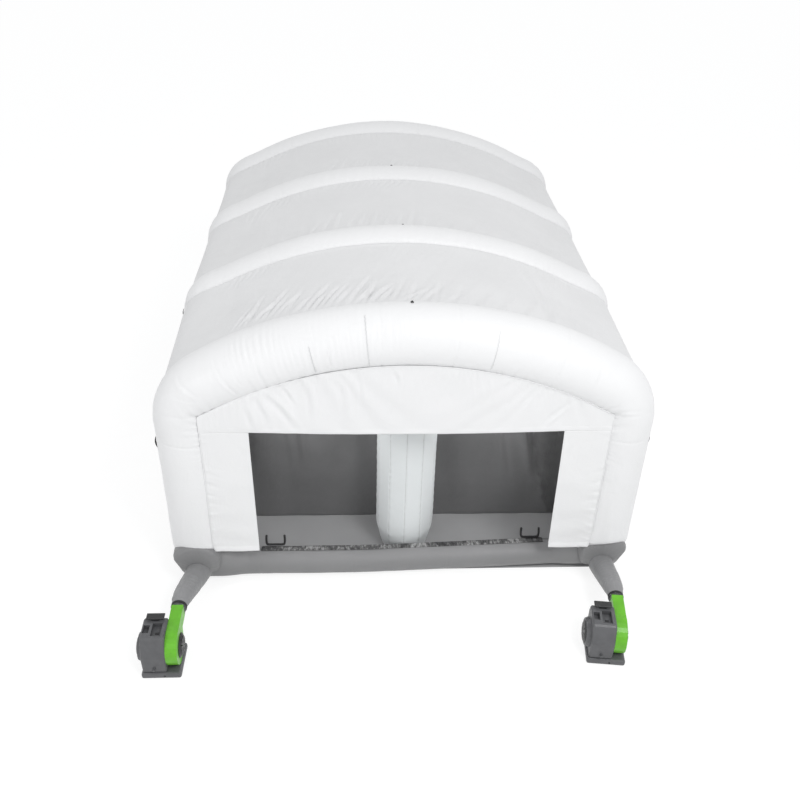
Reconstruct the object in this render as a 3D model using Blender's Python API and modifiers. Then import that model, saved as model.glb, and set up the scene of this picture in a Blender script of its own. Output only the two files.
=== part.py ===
"""Inflatable paint booth: four air-filled arches on an inflated base, sewn panels and two blowers.

Metres, +Z up. The front with the two exhaust windows faces -Y, and +X is to its right.
The origin is on the ground, midway between the front and the rear of everything.
"""

from math import asin, cos, pi, radians, sin

import bmesh
import bpy
from mathutils import Matrix, Vector

# Overall sizes
WIDTH = 4.57
CROWN_Z = 2.68
CROWN_R = 3.65
EAVE_R = 0.43
BAY = 1.84
BAYS = 3
FRONT_TUBE_R = 0.285
ARCH_TUBE_R = 0.24

# Fabric walls and seams
TUBE_WALL = 0.004
PANEL_T = 0.003
GAP = 0.0003
SIDE_SEAM = 0.0015
END_SEAM = 0.0020
ROOF_SEAM_DEG = 52.0
END_SEAM_DEG = 118.0
ROOF_SAG = 0.055
WALL_SAG = 0.040

# Mesh steps of the inflated tubes
CROWN_STEPS = 5
EAVE_STEPS = 4
ROOF_STEPS = 4

# Grey base
SIDE_TUBE_R = 0.26
RUN_IN = 0.265
RUN_SIDES = 14
CAP_STEPS = ((-0.026, 0.50), (-0.020, 0.72), (-0.004, 0.91), (0.040, 1.0))
CAP_LEAN = 0.35
LEG_STEPS = ((0.40, 1.0), (0.30, 0.95), (0.20, 0.76))
AIR_NECK_R = 0.110
THRESHOLD_R = 0.13
THRESHOLD_IN = 0.12
AIR_PORT_R = 0.060

# Front and rear ends
WINDOW_W = 2.83
WINDOW_TOP = 1.84
FLAP_LOW = 0.43
FLAP_FOLD = 0.006
HEADER_FOLD = 0.012
DOOR_W = 2.60
DOOR_TOP = 1.80
DOOR_GAP = 0.0008
COLUMN_X = 0.04
COLUMN_Y = 0.37
COLUMN_R = 0.30
COLUMN_FOOT = 0.12
FILTER_Y = 0.74
FILTER_FOLD = 0.022
FLOOR_T = 0.003
STRIP_W = 0.050
STRIP_T = 0.003

# Webbing
LOOP_SPAN = 0.20
LOOP_RISE = 0.115
LOOP_W = 0.022
WEB_T = 0.003
LOOP_X = WINDOW_W / 2 - 0.140
LOOP_T = 0.010
TIE_W = 0.030
TIE_LEN = 0.15
TIE_RISE = 0.028
TIE_Z = 1.62

# Blowers
BLOWER_AT = {"left": (-2.160, -1.215, 0.0), "right": (1.862, -1.165, -7.0)}
BASE_X0 = -0.205
BASE_X1 = 0.145
BASE_BACK = -0.195
BASE_FRONT = 0.165
BASE_H = 0.060
HOUSING_X0 = -0.190
HOUSING_X1 = 0.022
HOUSING_TOP = 0.430
HOUSING_WALL = 0.005
WHEEL_Z = 0.210
DRUM_R = 0.150
DRUM_OUT = 0.040
SCROLL_W = 0.104
SCROLL_MIN_R = 0.146
SCROLL_MAX_R = 0.192
SCROLL_WALL = 0.004
NOZZLE_Z = 0.345
NOZZLE_H = 0.136
NOZZLE_Y = 0.290
COLLAR_R = 0.064
COLLAR_LEN = 0.056
INTAKE_R = 0.088
GRILLE_R = 0.112
GRILLE_T = 0.005
GRILLE_DOME = 0.026
GRILLE_SLOTS = 12
MOTOR_SLOTS = 8
MOTOR_GRILLE_R = 0.105
WHEEL_R = 0.108
WHEEL_W = 0.064
WHEEL_BLADES = 18
BLADE_T = 0.0035
BLADE_DEPTH = 0.024
BLADE_LEAN_DEG = 28.0
HUB_R = 0.024
SHAFT_R = 0.008
MOTOR_R = 0.058
MOTOR_LEN = 0.120
MOTOR_FLANGE_R = 0.080
SWITCH_W = 0.030
SWITCH_H = 0.020
SWITCH_EASE = 0.0010
SWITCH_DEEP = 0.007
SWITCH_X = -0.055
SWITCH_Y = -0.020
RECESSES = ((-0.176, -0.122, -0.050, 0.040), (-0.100, -0.014, -0.085, 0.062))
RECESS_DEEP = 0.045
HANDLE_W = 0.160
HANDLE_Y = 0.100
GLAND_R = 0.011

# Air ducts
DUCT_ROOT_R = 0.110
DUCT_ROOT_Z = 0.190
DUCT_WALL = 0.003
SLEEVE = 0.035
STRAP_W = 0.032

WHITE = (0.86, 0.87, 0.89)
GREY = (0.30, 0.30, 0.30)
FLOOR_GREY = (0.34, 0.34, 0.34)
DARK = (0.13, 0.13, 0.13)
BLACK = (0.02, 0.02, 0.02)
HOUSING_GREY = (0.12, 0.12, 0.125)
GREEN = (0.13, 0.58, 0.02)
STEEL = (0.55, 0.55, 0.56)
ZINC = (0.62, 0.62, 0.60)

for old in list(bpy.data.objects):
    bpy.data.objects.remove(old, do_unlink=True)

BOOTH = bpy.data.collections.new("Inflatable paint booth")
CUTTERS = bpy.data.collections.new("Cutters")
CUTTERS.hide_render = True
bpy.context.scene.collection.children.link(BOOTH)
bpy.context.scene.collection.children.link(CUTTERS)


def material(name, colour, rough, metal=0.0):
    made = bpy.data.materials.new(name)
    made.use_nodes = True
    shader = made.node_tree.nodes["Principled BSDF"]
    shader.inputs["Base Color"].default_value = (*colour, 1.0)
    shader.inputs["Roughness"].default_value = rough
    shader.inputs["Metallic"].default_value = metal
    return made


def add(name, bm, colour=None, rough=0.6, metal=0.0, smooth=True):
    """A bmesh becomes a part with its own material, or a cutter where no colour is given."""
    mesh = bpy.data.meshes.new(name)
    bm.to_mesh(mesh)
    bm.free()
    obj = bpy.data.objects.new(name, mesh)
    if colour is None:
        CUTTERS.objects.link(obj)
        obj.hide_render = True
        obj.display_type = "WIRE"
        return obj
    BOOTH.objects.link(obj)
    mesh.materials.append(material(name, colour, rough, metal))
    if smooth:
        mesh.shade_smooth()
        mesh.set_sharp_from_angle(angle=radians(40))
    return obj


def boolean(obj, other, operation="DIFFERENCE"):
    mod = obj.modifiers.new("Join" if operation == "UNION" else "Cut", "BOOLEAN")
    mod.operation = operation
    mod.object = other
    mod.solver = "EXACT"
    return mod


def solidify(obj, thickness, offset):
    mod = obj.modifiers.new("Cloth", "SOLIDIFY")
    mod.thickness = thickness
    mod.offset = offset
    mod.use_even_offset = True
    return mod


def bevel(obj, width, segments=2, angle=35.0):
    mod = obj.modifiers.new("Edges", "BEVEL")
    mod.width = width
    mod.segments = segments
    mod.limit_method = "ANGLE"
    mod.angle_limit = radians(angle)
    return mod


def loft(rings, closed_ends=False):
    """Quads between rings of equally many points."""
    bm = bmesh.new()
    rows = [[bm.verts.new(p) for p in ring] for ring in rings]
    count = len(rings[0])
    for a, b in zip(rows, rows[1:]):
        for i in range(count):
            j = (i + 1) % count
            bm.faces.new((a[i], a[j], b[j], b[i]))
    if closed_ends:
        bm.faces.new(list(reversed(rows[0])))
        bm.faces.new(rows[-1])
    bmesh.ops.recalc_face_normals(bm, faces=bm.faces)
    middle = sum((Vector(p) for p in rings[0]), Vector()) / count
    bm.faces.ensure_lookup_table()
    first = bm.faces[0]
    if (first.calc_center_median() - middle).dot(first.normal) < 0:
        bmesh.ops.reverse_faces(bm, faces=bm.faces)
    return bm


def grid(columns, rows, place):
    """A sheet of columns x rows quads, whose points place(u, v) gives for u and v from 0 to 1."""
    bm = bmesh.new()
    bmesh.ops.create_grid(bm, x_segments=columns, y_segments=rows, size=0.5)
    for vert in bm.verts:
        vert.co = place(round((vert.co.x + 0.5) * columns) / columns, round((vert.co.y + 0.5) * rows) / rows)
    return bm


def box(low, high):
    bm = bmesh.new()
    bmesh.ops.create_cube(bm, size=1.0)
    low = Vector(low)
    high = Vector(high)
    bmesh.ops.scale(bm, vec=high - low, verts=bm.verts)
    bmesh.ops.translate(bm, vec=(low + high) / 2, verts=bm.verts)
    return bm


def cone_x(r0, r1, x0, x1, y=0.0, z=0.0, sides=18):
    """A cylinder or cone along X, from radius r0 at x0 to r1 at x1."""
    bm = bmesh.new()
    bmesh.ops.create_cone(bm, cap_ends=True, segments=sides, radius1=r0, radius2=r1, depth=x1 - x0)
    bmesh.ops.rotate(bm, matrix=Matrix.Rotation(pi / 2, 3, "Y"), verts=bm.verts)
    bmesh.ops.translate(bm, vec=((x0 + x1) / 2, y, z), verts=bm.verts)
    return bm


def merge(*parts):
    """Several bmeshes put into one."""
    whole = bmesh.new()
    for part in parts:
        mesh = bpy.data.meshes.new("part")
        part.to_mesh(mesh)
        part.free()
        whole.from_mesh(mesh)
        bpy.data.meshes.remove(mesh)
    return whole


def prism_x(outline, x0, x1):
    """A (y, z) outline pushed out along X."""
    bm = bmesh.new()
    face = bm.faces.new([bm.verts.new((x0, y, z)) for y, z in outline])
    pushed = bmesh.ops.extrude_face_region(bm, geom=[face])
    verts = [v for v in pushed["geom"] if isinstance(v, bmesh.types.BMVert)]
    bmesh.ops.translate(bm, vec=(x1 - x0, 0, 0), verts=verts)
    bmesh.ops.recalc_face_normals(bm, faces=bm.faces)
    return bm


def rounded(points, radii, steps=3):
    """A polygon's corners rounded, each with its own radius."""
    out = []
    count = len(points)
    for i, (point, radius) in enumerate(zip(points, radii)):
        here = Vector(point)
        back = (Vector(points[i - 1]) - here).normalized()
        ahead = (Vector(points[(i + 1) % count]) - here).normalized()
        half = back.angle(ahead) / 2
        reach = radius / max(0.2, abs(sin(half) / cos(half)))
        centre = here + (back + ahead).normalized() * radius / sin(half)
        start = here + back * reach
        end = here + ahead * reach
        for k in range(steps + 1):
            spoke = (start - centre).lerp(end - centre, k / steps).normalized()
            out.append(tuple(centre + spoke * radius))
    return out


# The tube's cross-section has a corner at each seam, so that a panel's edge meets it along its length.
SECTION_DEG = [0.0]
SECTION_DEG += [ROOF_SEAM_DEG * k / 2 for k in (1, 2)]
SECTION_DEG += [ROOF_SEAM_DEG + (END_SEAM_DEG - ROOF_SEAM_DEG) * k / 3 for k in (1, 2, 3)]
SECTION_DEG += [END_SEAM_DEG + (180.0 - END_SEAM_DEG) * k / 2 for k in (1, 2)]
SECTION_DEG += [-a for a in reversed(SECTION_DEG[1:-1])]


def arch_path(tube_r):
    """The arch's centre line from the left foot to the right: (x, z, outward x, outward z)."""
    leg_x = WIDTH / 2 - tube_r
    turn = asin((leg_x - EAVE_R) / (CROWN_R - EAVE_R))
    eave_x = leg_x - EAVE_R
    eave_z = CROWN_Z - CROWN_R + (CROWN_R - EAVE_R) * cos(turn)
    half = []
    for i in range(CROWN_STEPS + 1):
        a = turn * i / CROWN_STEPS
        half.append((CROWN_R * sin(a), CROWN_Z - CROWN_R + CROWN_R * cos(a), sin(a), cos(a)))
    for i in range(1, EAVE_STEPS + 1):
        a = turn + (pi / 2 - turn) * i / EAVE_STEPS
        half.append((eave_x + EAVE_R * sin(a), eave_z + EAVE_R * cos(a), sin(a), cos(a)))
    half.append((leg_x, LEG_STEPS[0][0], 1.0, 0.0))
    left = [(-x, z, -nx, nz) for x, z, nx, nz in reversed(half[1:])]
    return left + half


def on_tube(station, y, tube_r, degrees, out=0.0):
    """A point of the tube at this angle from its outer side, turning towards -Y."""
    x, z, nx, nz = station
    a = radians(degrees)
    reach = (tube_r + out) * cos(a)
    return Vector((x + reach * nx, y - (tube_r + out) * sin(a), z + reach * nz))


def arch_r(i):
    return FRONT_TUBE_R if i == 0 else ARCH_TUBE_R


def arch_y(i):
    return FRONT_Y + BAY * i


# The booth and its blowers share one box, whose middle is the origin
BLOWER_BACK = min(y for _, y, _ in BLOWER_AT.values()) + BASE_BACK
REAR_END = BAY * BAYS + ARCH_TUBE_R
FRONT_Y = -(REAR_END + BLOWER_BACK) / 2
LEG_FRONT_X = WIDTH / 2 - FRONT_TUBE_R
RUN_X = WIDTH / 2 - RUN_IN
RUN_Z = SIDE_TUBE_R * cos(pi / RUN_SIDES) + GAP
REAR_Y = FRONT_Y + BAY * BAYS

PATHS = [arch_path(arch_r(i)) for i in range(BAYS + 1)]
STATIONS = len(PATHS[0])

def base_ring(x, y, r, lean):
    """A ring of a base tube: its lower half is set back by lean, as the end of a full tube is near the ground."""
    turn = [2 * pi * k / RUN_SIDES for k in range(RUN_SIDES)]
    return [Vector((x + r * cos(a), y + lean * max(0.0, -r * sin(a)), RUN_Z + r * sin(a))) for a in turn]


def base_tube(side, grow):
    """The base tube of one side with its bulging ends, grown by this much."""
    x = RUN_X if side == "right" else -RUN_X
    rings = []
    for end, way in ((FRONT_Y - FRONT_TUBE_R, 1.0), (REAR_Y + ARCH_TUBE_R + CAP_STEPS[0][0], -1.0)):
        cap = []
        for inset, share in CAP_STEPS:
            lean = way * CAP_LEAN if cap else 0.0
            cap.append(base_ring(x, end + way * (inset - grow), SIDE_TUBE_R * share + grow, lean))
        rings += cap if way > 0 else list(reversed(cap))
    bm = loft(rings, closed_ends=True)
    bmesh.ops.triangulate(bm, faces=[f for f in bm.faces if len(f.verts) == 4], quad_method="FIXED")
    return bm


# The base tubes' outer forms, which the legs stand on
BASE_CLEAR = {side: add(f"{side}_base_clear", base_tube(side, GAP)) for side in ("left", "right")}

# Inflated arches, whose legs narrow to the base tubes and are cut to a saddle on them
ARCH_NAMES = ["front_arch"] + [f"{n}_arch" for n in ("second", "third", "fourth", "fifth")][: BAYS - 1]
ARCH_NAMES.append("rear_arch")
for i, name in enumerate(ARCH_NAMES):
    rings = [[on_tube(s, arch_y(i), arch_r(i), a) for a in SECTION_DEG] for s in PATHS[i]]
    for z, share in LEG_STEPS[1:]:
        r = arch_r(i) * share
        x = WIDTH / 2 - arch_r(i)
        rings.insert(0, [on_tube((-x, z, -1.0, 0.0), arch_y(i), r, a) for a in SECTION_DEG])
        rings.append([on_tube((x, z, 1.0, 0.0), arch_y(i), r, a) for a in SECTION_DEG])
    arch = add(name, loft(rings), WHITE, 0.45)
    solidify(arch, TUBE_WALL, -1.0)
    for side in ("left", "right"):
        boolean(arch, BASE_CLEAR[side])


def lying_x(x0, x1, y, z, r):
    """A tube along X with the arches' cross-section."""
    return [[on_tube((x, z, 0.0, 1.0), y, r, a) for a in SECTION_DEG] for x in (x0, x1)]


def lying_y(x, y0, y1, z, r, sides=14):
    bm = bmesh.new()
    bmesh.ops.create_cone(bm, cap_ends=True, segments=sides, radius1=r, radius2=r, depth=y1 - y0)
    bmesh.ops.rotate(bm, matrix=Matrix.Rotation(pi / sides, 3, "Z"), verts=bm.verts)
    bmesh.ops.rotate(bm, matrix=Matrix.Rotation(pi / 2, 3, "X"), verts=bm.verts)
    bmesh.ops.translate(bm, vec=(x, (y0 + y1) / 2, z), verts=bm.verts)
    return bm


# Grey base tube along each side, open into the four legs, the thresholds and the duct
for side, sign in (("left", -1.0), ("right", 1.0)):
    base = add(f"{side}_base", base_tube(side, 0.0), GREY, 0.5)
    boolean(base, add(f"{side}_air", base_tube(side, -TUBE_WALL)))
    for i in range(BAYS + 1):
        neck = bmesh.new()
        bmesh.ops.create_cone(neck, cap_ends=True, segments=12, radius1=AIR_NECK_R, radius2=AIR_NECK_R, depth=0.3)
        bmesh.ops.translate(neck, vec=(sign * (WIDTH / 2 - arch_r(i)), arch_y(i), RUN_Z + SIDE_TUBE_R), verts=neck.verts)
        boolean(base, add(f"{side}_neck_{i}", neck))
    for i, y in ((0, arch_y(0) - THRESHOLD_IN), (BAYS, arch_y(BAYS) + THRESHOLD_IN)):
        ends = sorted((sign * (RUN_X - SIDE_TUBE_R - 0.06), sign * (RUN_X - SIDE_TUBE_R * 0.4)))
        port = cone_x(AIR_PORT_R, AIR_PORT_R, ends[0], ends[1], y, THRESHOLD_R, 12)
        boolean(base, add(f"{side}_port_{i}", port))
    front = FRONT_Y - FRONT_TUBE_R
    duct_port = lying_y(sign * LEG_FRONT_X, front - 0.08, front + 0.10, DUCT_ROOT_Z, AIR_PORT_R, 10)
    boolean(base, add(f"{side}_duct_port", duct_port))


# Inflated thresholds across the front and the rear
for name, i, y in (("front_threshold", 0, FRONT_Y - THRESHOLD_IN), ("rear_threshold", BAYS, REAR_Y + THRESHOLD_IN)):
    reach = RUN_X - SIDE_TUBE_R * 0.3
    tube = add(name, loft(lying_x(-reach, reach, y, THRESHOLD_R, THRESHOLD_R)), GREY, 0.5)
    solidify(tube, TUBE_WALL, -1.0)
    for side in ("left", "right"):
        boolean(tube, BASE_CLEAR[side])


def side_edge(b, k, v):
    """The roof's and walls' middle surface over bay b, at station k, v of the way to the next arch."""
    near = on_tube(PATHS[b][k], arch_y(b), arch_r(b), -ROOF_SEAM_DEG) + Vector((0, SIDE_SEAM, 0))
    far = on_tube(PATHS[b + 1][k], arch_y(b + 1), arch_r(b + 1), ROOF_SEAM_DEG) - Vector((0, SIDE_SEAM, 0))
    return near, far


def roof_point(b, k, v, sag):
    near, far = side_edge(b, k, v)
    nx = PATHS[b][k][2] + PATHS[b + 1][k][2]
    nz = PATHS[b][k][3] + PATHS[b + 1][k][3]
    return near.lerp(far, v) - Vector((nx, 0, nz)).normalized() * sag * 4 * v * (1 - v)


# Roof panels between the arches, from eave to eave
ROOF_FIRST = 1
ROOF_LAST = STATIONS - 2
for b in range(BAYS):
    count = ROOF_LAST - ROOF_FIRST

    def place(u, v):
        k = ROOF_FIRST + round(u * count)
        share = 1.0 if ROOF_FIRST < k < ROOF_LAST else WALL_SAG / ROOF_SAG
        point = roof_point(b, k, v, ROOF_SAG * share)
        if k in (ROOF_FIRST, ROOF_LAST):
            point.z += GAP
        return point

    roof = add(f"roof_panel_{b + 1}", grid(count, ROOF_STEPS, place), WHITE, 0.5)
    solidify(roof, PANEL_T, 0.0)

# Side walls below the eaves, down onto the side tubes
for side, sign in (("left", -1.0), ("right", 1.0)):
    k = ROOF_FIRST if sign < 0 else ROOF_LAST
    for b in range(BAYS):

        def place(u, v):
            point = roof_point(b, k, v, WALL_SAG)
            point.z = SIDE_TUBE_R + (point.z - GAP - SIDE_TUBE_R) * u
            return point

        wall = add(f"{side}_wall_{b + 1}", grid(1, ROOF_STEPS, place), WHITE, 0.5)
        solidify(wall, PANEL_T, 0.0)
        boolean(wall, BASE_CLEAR[side])


def end_seam(i, k):
    """Where an end panel meets its arch: the seam's x and z at station k, clear of the tube."""
    point = on_tube(PATHS[i][k], arch_y(i), arch_r(i), END_SEAM_DEG)
    return point.x - END_SEAM * PATHS[i][k][2], point.z - END_SEAM * PATHS[i][k][3]


def end_plane(i):
    reach = arch_r(i) * sin(radians(END_SEAM_DEG))
    return arch_y(i) - reach if i == 0 else arch_y(i) + reach


def header(name, i, bottom, fold):
    """The panel over an end's opening, up to the arch, with folds that run down from the seam."""
    plane = end_plane(i)
    last = STATIONS - 2

    def place(u, v):
        k = 1 + round(u * (last - 1))
        x, z = end_seam(i, k)
        inside = min(1.0, (k - 1) / EAVE_STEPS, (last - k) / EAVE_STEPS)
        wave = fold * sin(k * pi * 0.9) * sin(v * pi) * inside ** 2
        return Vector((x, plane + wave, bottom + (z - bottom) * v))

    panel = add(name, grid(last - 1, 3, place), WHITE, 0.5)
    solidify(panel, PANEL_T, 0.0)
    return panel


def seat_x(i, y):
    """The leg's inner surface at this y, clear by the seam."""
    r = arch_r(i)
    depth = min(abs(y - arch_y(i)), r * sin(radians(END_SEAM_DEG)))
    return WIDTH / 2 - r - (r * r - depth * depth) ** 0.5 - END_SEAM


def end_low():
    """How low a flat rear panel reaches: just over the threshold's round top."""
    aside = abs(end_plane(BAYS) - REAR_Y - THRESHOLD_IN)
    return THRESHOLD_R + (THRESHOLD_R ** 2 - aside ** 2) ** 0.5 + 0.003


def flap(name, i, sign, inner_x, top, low):
    """The side panel beside an end's opening: it hangs flat between the leg and the opening."""
    plane = end_plane(i)
    out = -1.0 if i == 0 else 1.0

    def place(u, v):
        wave = FLAP_FOLD * sin(u * 2.6 * pi) * sin(v * pi) * out * u * (1 - u) * 4
        outer = seat_x(i, plane)
        return Vector((sign * (inner_x + (outer - inner_x) * u), plane + wave, low + (top - GAP - low) * v))

    panel = add(name, grid(3, 5, place), WHITE, 0.5)
    solidify(panel, PANEL_T, 0.0)
    boolean(panel, BASE_CLEAR["left" if sign < 0 else "right"])
    return panel


# Front end: header and two flaps round the exhaust windows
header("front_header", 0, WINDOW_TOP + GAP, HEADER_FOLD)
for side, sign in (("left", -1.0), ("right", 1.0)):
    flap(f"{side}_front_flap", 0, sign, WINDOW_W / 2, WINDOW_TOP, FLAP_LOW)

# Rear end: header, two flaps and the doorway's two leaves
header("rear_header", BAYS, DOOR_TOP + GAP, 0.0)
for side, sign in (("left", -1.0), ("right", 1.0)):
    flap(f"{side}_rear_flap", BAYS, sign, DOOR_W / 2 + DOOR_GAP, DOOR_TOP, end_low())
REAR_PLANE = end_plane(BAYS)
DOOR_LOW = end_low()
for side, sign in (("left", -1.0), ("right", 1.0)):
    hinge = Vector((sign * DOOR_W / 2, REAR_PLANE + PANEL_T / 2, 0.0))
    low = (-DOOR_W / 2, -PANEL_T, DOOR_LOW)
    high = (-DOOR_GAP / 2, 0.0, DOOR_TOP - DOOR_GAP)
    if sign < 0:
        leaf = box((0.0, low[1], low[2]), (DOOR_W / 2 - DOOR_GAP / 2, high[1], high[2]))
    else:
        leaf = box((-DOOR_W / 2 + DOOR_GAP / 2, low[1], low[2]), (0.0, high[1], high[2]))
    door = add(f"{side}_door", leaf, WHITE, 0.5, smooth=False)
    door.location = hinge

# Zip slider on the left leaf's free edge
ZIP_Z = DOOR_LOW + 0.05
slider = box((-0.006, GAP, -0.010), (0.006, 0.007, 0.010))
pull = box((-0.004, 0.0045, -0.055), (0.004, 0.0065, -0.005))
zip_slider = add("zip_slider", slider, ZINC, 0.35, 1.0, smooth=False)
boolean(zip_slider, add("zip_pull", pull), "UNION")
for piece in (zip_slider, bpy.data.objects["zip_pull"]):
    piece.location = (-0.0075, REAR_PLANE + PANEL_T / 2, ZIP_Z)


# Centre column: three long panels show as flat facets, closed below and open into the arch above
def column_rings(r, low, high, corner):
    levels = [(low, r - corner), (low + corner * 0.3, r - corner * 0.35), (low + corner, r), (high, r)]
    turn = [2 * pi * (k + 0.5) / 10 for k in range(10)]
    return [[Vector((COLUMN_X + s * sin(a), COLUMN_WORLD_Y - s * cos(a), z)) for a in turn] for z, s in levels]


COLUMN_WORLD_Y = FRONT_Y + COLUMN_Y
COLUMN_LOW = FLOOR_T + GAP
COLUMN_TOP = CROWN_Z - 0.02
column = add("centre_column", loft(column_rings(COLUMN_R, COLUMN_LOW, COLUMN_TOP, COLUMN_FOOT), True), WHITE, 0.45)
space = loft(column_rings(COLUMN_R - TUBE_WALL, COLUMN_LOW + TUBE_WALL, COLUMN_TOP - TUBE_WALL, COLUMN_FOOT), True)
boolean(column, add("column_space", space))
arch_clear = [[on_tube(s, FRONT_Y, FRONT_TUBE_R + GAP, a) for a in SECTION_DEG] for s in PATHS[0]]
boolean(column, add("column_arch_clear", loft(arch_clear, True)))

# Grey filter wall behind the windows, with soft upright folds
FILTER_AT = FRONT_Y + FILTER_Y
near_y = on_tube(PATHS[0][0], FRONT_Y, FRONT_TUBE_R, -ROOF_SEAM_DEG).y + SIDE_SEAM
far_y = on_tube(PATHS[1][0], arch_y(1), ARCH_TUBE_R, ROOF_SEAM_DEG).y - SIDE_SEAM
FILTER_V = (FILTER_AT - near_y) / (far_y - near_y)


def filter_place(u, v):
    k = ROOF_FIRST + round(u * (ROOF_LAST - ROOF_FIRST))
    sag = ROOF_SAG if ROOF_FIRST < k < ROOF_LAST else WALL_SAG
    near, far = side_edge(0, k, FILTER_V)
    nx, nz = PATHS[1][k][2], PATHS[1][k][3]
    out = Vector((nx, 0, nz))
    top = near.lerp(far, FILTER_V) - out * (sag * 4 * FILTER_V * (1 - FILTER_V) + PANEL_T + SIDE_SEAM)
    low = FLOOR_T + GAP
    wave = FILTER_FOLD * sin(k * pi * 0.62) * min(1.0, (1 - v) * 4) * min(1.0, u * 6, (1 - u) * 6)
    return Vector((top.x, FILTER_AT + wave, low + (top.z - low) * v))


curtain = add("filter_wall", grid(ROOF_LAST - ROOF_FIRST, 5, filter_place), DARK, 0.8)
solidify(curtain, PANEL_T, 0.0)
for side, sign in (("left", -1.0), ("right", 1.0)):
    boolean(curtain, BASE_CLEAR[side])
    under_x = sorted((sign * (RUN_X - SIDE_TUBE_R * 0.3), sign * (WIDTH / 2 + 0.2)))
    under = box((under_x[0], FILTER_AT - 0.2, -0.1), (under_x[1], FILTER_AT + 0.2, RUN_Z))
    boolean(curtain, add(f"{side}_under_run", under))

# Ground sheet between the base tubes
sheet_x = RUN_X - SIDE_TUBE_R * sin(pi / RUN_SIDES) - 0.010
ground = box((-sheet_x, FRONT_Y - THRESHOLD_IN + 0.02, 0.0), (sheet_x, REAR_Y + THRESHOLD_IN - 0.02, FLOOR_T))
ground_sheet = add("ground_sheet", ground, FLOOR_GREY, 0.6, smooth=False)
for side in ("left", "right"):
    boolean(ground_sheet, BASE_CLEAR[side])

# Hook-and-loop strip along the back of the front threshold's top
FACET = radians(SECTION_DEG[1])
FACE_LIFT = THRESHOLD_R * cos(FACET / 2)
STRIP_AT = Vector((0.0, FRONT_Y - THRESHOLD_IN, THRESHOLD_R))
TILT = Matrix.Rotation(-FACET / 2, 4, "X")
half_w = WINDOW_W / 2
strip = box((-half_w, -STRIP_W / 2, FACE_LIFT + GAP), (half_w, STRIP_W / 2, FACE_LIFT + GAP + STRIP_T))
strip_part = add("threshold_strip", strip, DARK, 0.8, smooth=False)
strip_part.matrix_world = Matrix.Translation(STRIP_AT) @ TILT


def ribbon(points, width, thickness):
    """A flat webbing band along points in the XZ plane, width along Y."""
    bm = bmesh.new()
    line = [Vector(p) for p in points]
    sides = ([], [])
    for n, p in enumerate(line):
        ahead = (line[min(n + 1, len(line) - 1)] - p).normalized() if n + 1 < len(line) else None
        back = (p - line[n - 1]).normalized() if n else None
        way = ahead if back is None else back if ahead is None else (ahead + back).normalized()
        across = Vector((-way.z, 0, way.x))
        stretch = 1.0 if back is None or ahead is None else 1.0 / max(0.5, way.dot(ahead))
        for s, rail in zip((-0.5, 0.5), sides):
            rail.append(p + across * thickness * s * stretch)
    outline = sides[0] + list(reversed(sides[1]))
    face = bm.faces.new([bm.verts.new(p - Vector((0, width / 2, 0))) for p in outline])
    pushed = bmesh.ops.extrude_face_region(bm, geom=[face])
    verts = [v for v in pushed["geom"] if isinstance(v, bmesh.types.BMVert)]
    bmesh.ops.translate(bm, vec=(0, width, 0), verts=verts)
    bmesh.ops.recalc_face_normals(bm, faces=bm.faces)
    return bm


# Two black webbing loops that stand on the strip
loop_low = FACE_LIFT + GAP * 2 + STRIP_T + LOOP_T / 2
for side, sign in (("left", -1.0), ("right", 1.0)):
    h = LOOP_SPAN / 2
    path = [(-h - 0.006, 0, loop_low + LOOP_RISE), (-h, 0, loop_low), (h, 0, loop_low), (h + 0.006, 0, loop_low + LOOP_RISE)]
    loop = add(f"{side}_threshold_loop", ribbon(path, LOOP_W, LOOP_T), BLACK, 0.7, smooth=False)
    at = STRIP_AT + Vector((sign * LOOP_X, 0, 0))
    loop.matrix_world = Matrix.Translation(at) @ TILT

# Tie-down webbing on the outside of the front legs, bowed out at the middle
for side, sign in (("left", -1.0), ("right", 1.0)):
    x = WIDTH / 2 + GAP + WEB_T / 2
    bow = [(0, 0), (0.12, 0), (0.32, 0.75), (0.5, 1.0), (0.68, 0.75), (0.88, 0), (1, 0)]
    path = [(sign * (x + TIE_RISE * b), 0, TIE_Z - TIE_LEN * s) for s, b in bow]
    tie = add(f"{side}_tie_loop", ribbon(path, TIE_W, WEB_T), BLACK, 0.7, smooth=False)
    tie.location = (0, FRONT_Y, 0)


# Blowers, in their own frame: origin on the ground under the wheel's axis, outlet towards +Y
SCROLL_X0 = HOUSING_X1 + GAP
SCROLL_X1 = SCROLL_X0 + SCROLL_W
WHEEL_X0 = SCROLL_X0 + SCROLL_WALL + 0.012
NOZZLE_LOW = NOZZLE_Z - NOZZLE_H / 2
NOZZLE_HIGH = NOZZLE_Z + NOZZLE_H / 2
COLLAR_Y = NOZZLE_Y + GAP


def spiral(shrink, nozzle_end):
    """The scroll's side outline: a spiral from the tongue round under and behind the wheel to the nozzle."""
    out = []
    steps = 20
    for n in range(steps + 1):
        share = n / steps
        a = radians(-18.0 - 252.0 * share)
        r = SCROLL_MIN_R + (SCROLL_MAX_R - SCROLL_MIN_R) * share - shrink
        out.append((r * cos(a), WHEEL_Z + r * sin(a)))
    out.append((0.06, WHEEL_Z + SCROLL_MAX_R - 0.004 - shrink))
    out.append((nozzle_end, NOZZLE_HIGH - shrink))
    out.append((nozzle_end, NOZZLE_LOW + shrink))
    out.append((SCROLL_MIN_R - shrink + 0.012, NOZZLE_LOW + shrink - 0.004))
    return out


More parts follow.
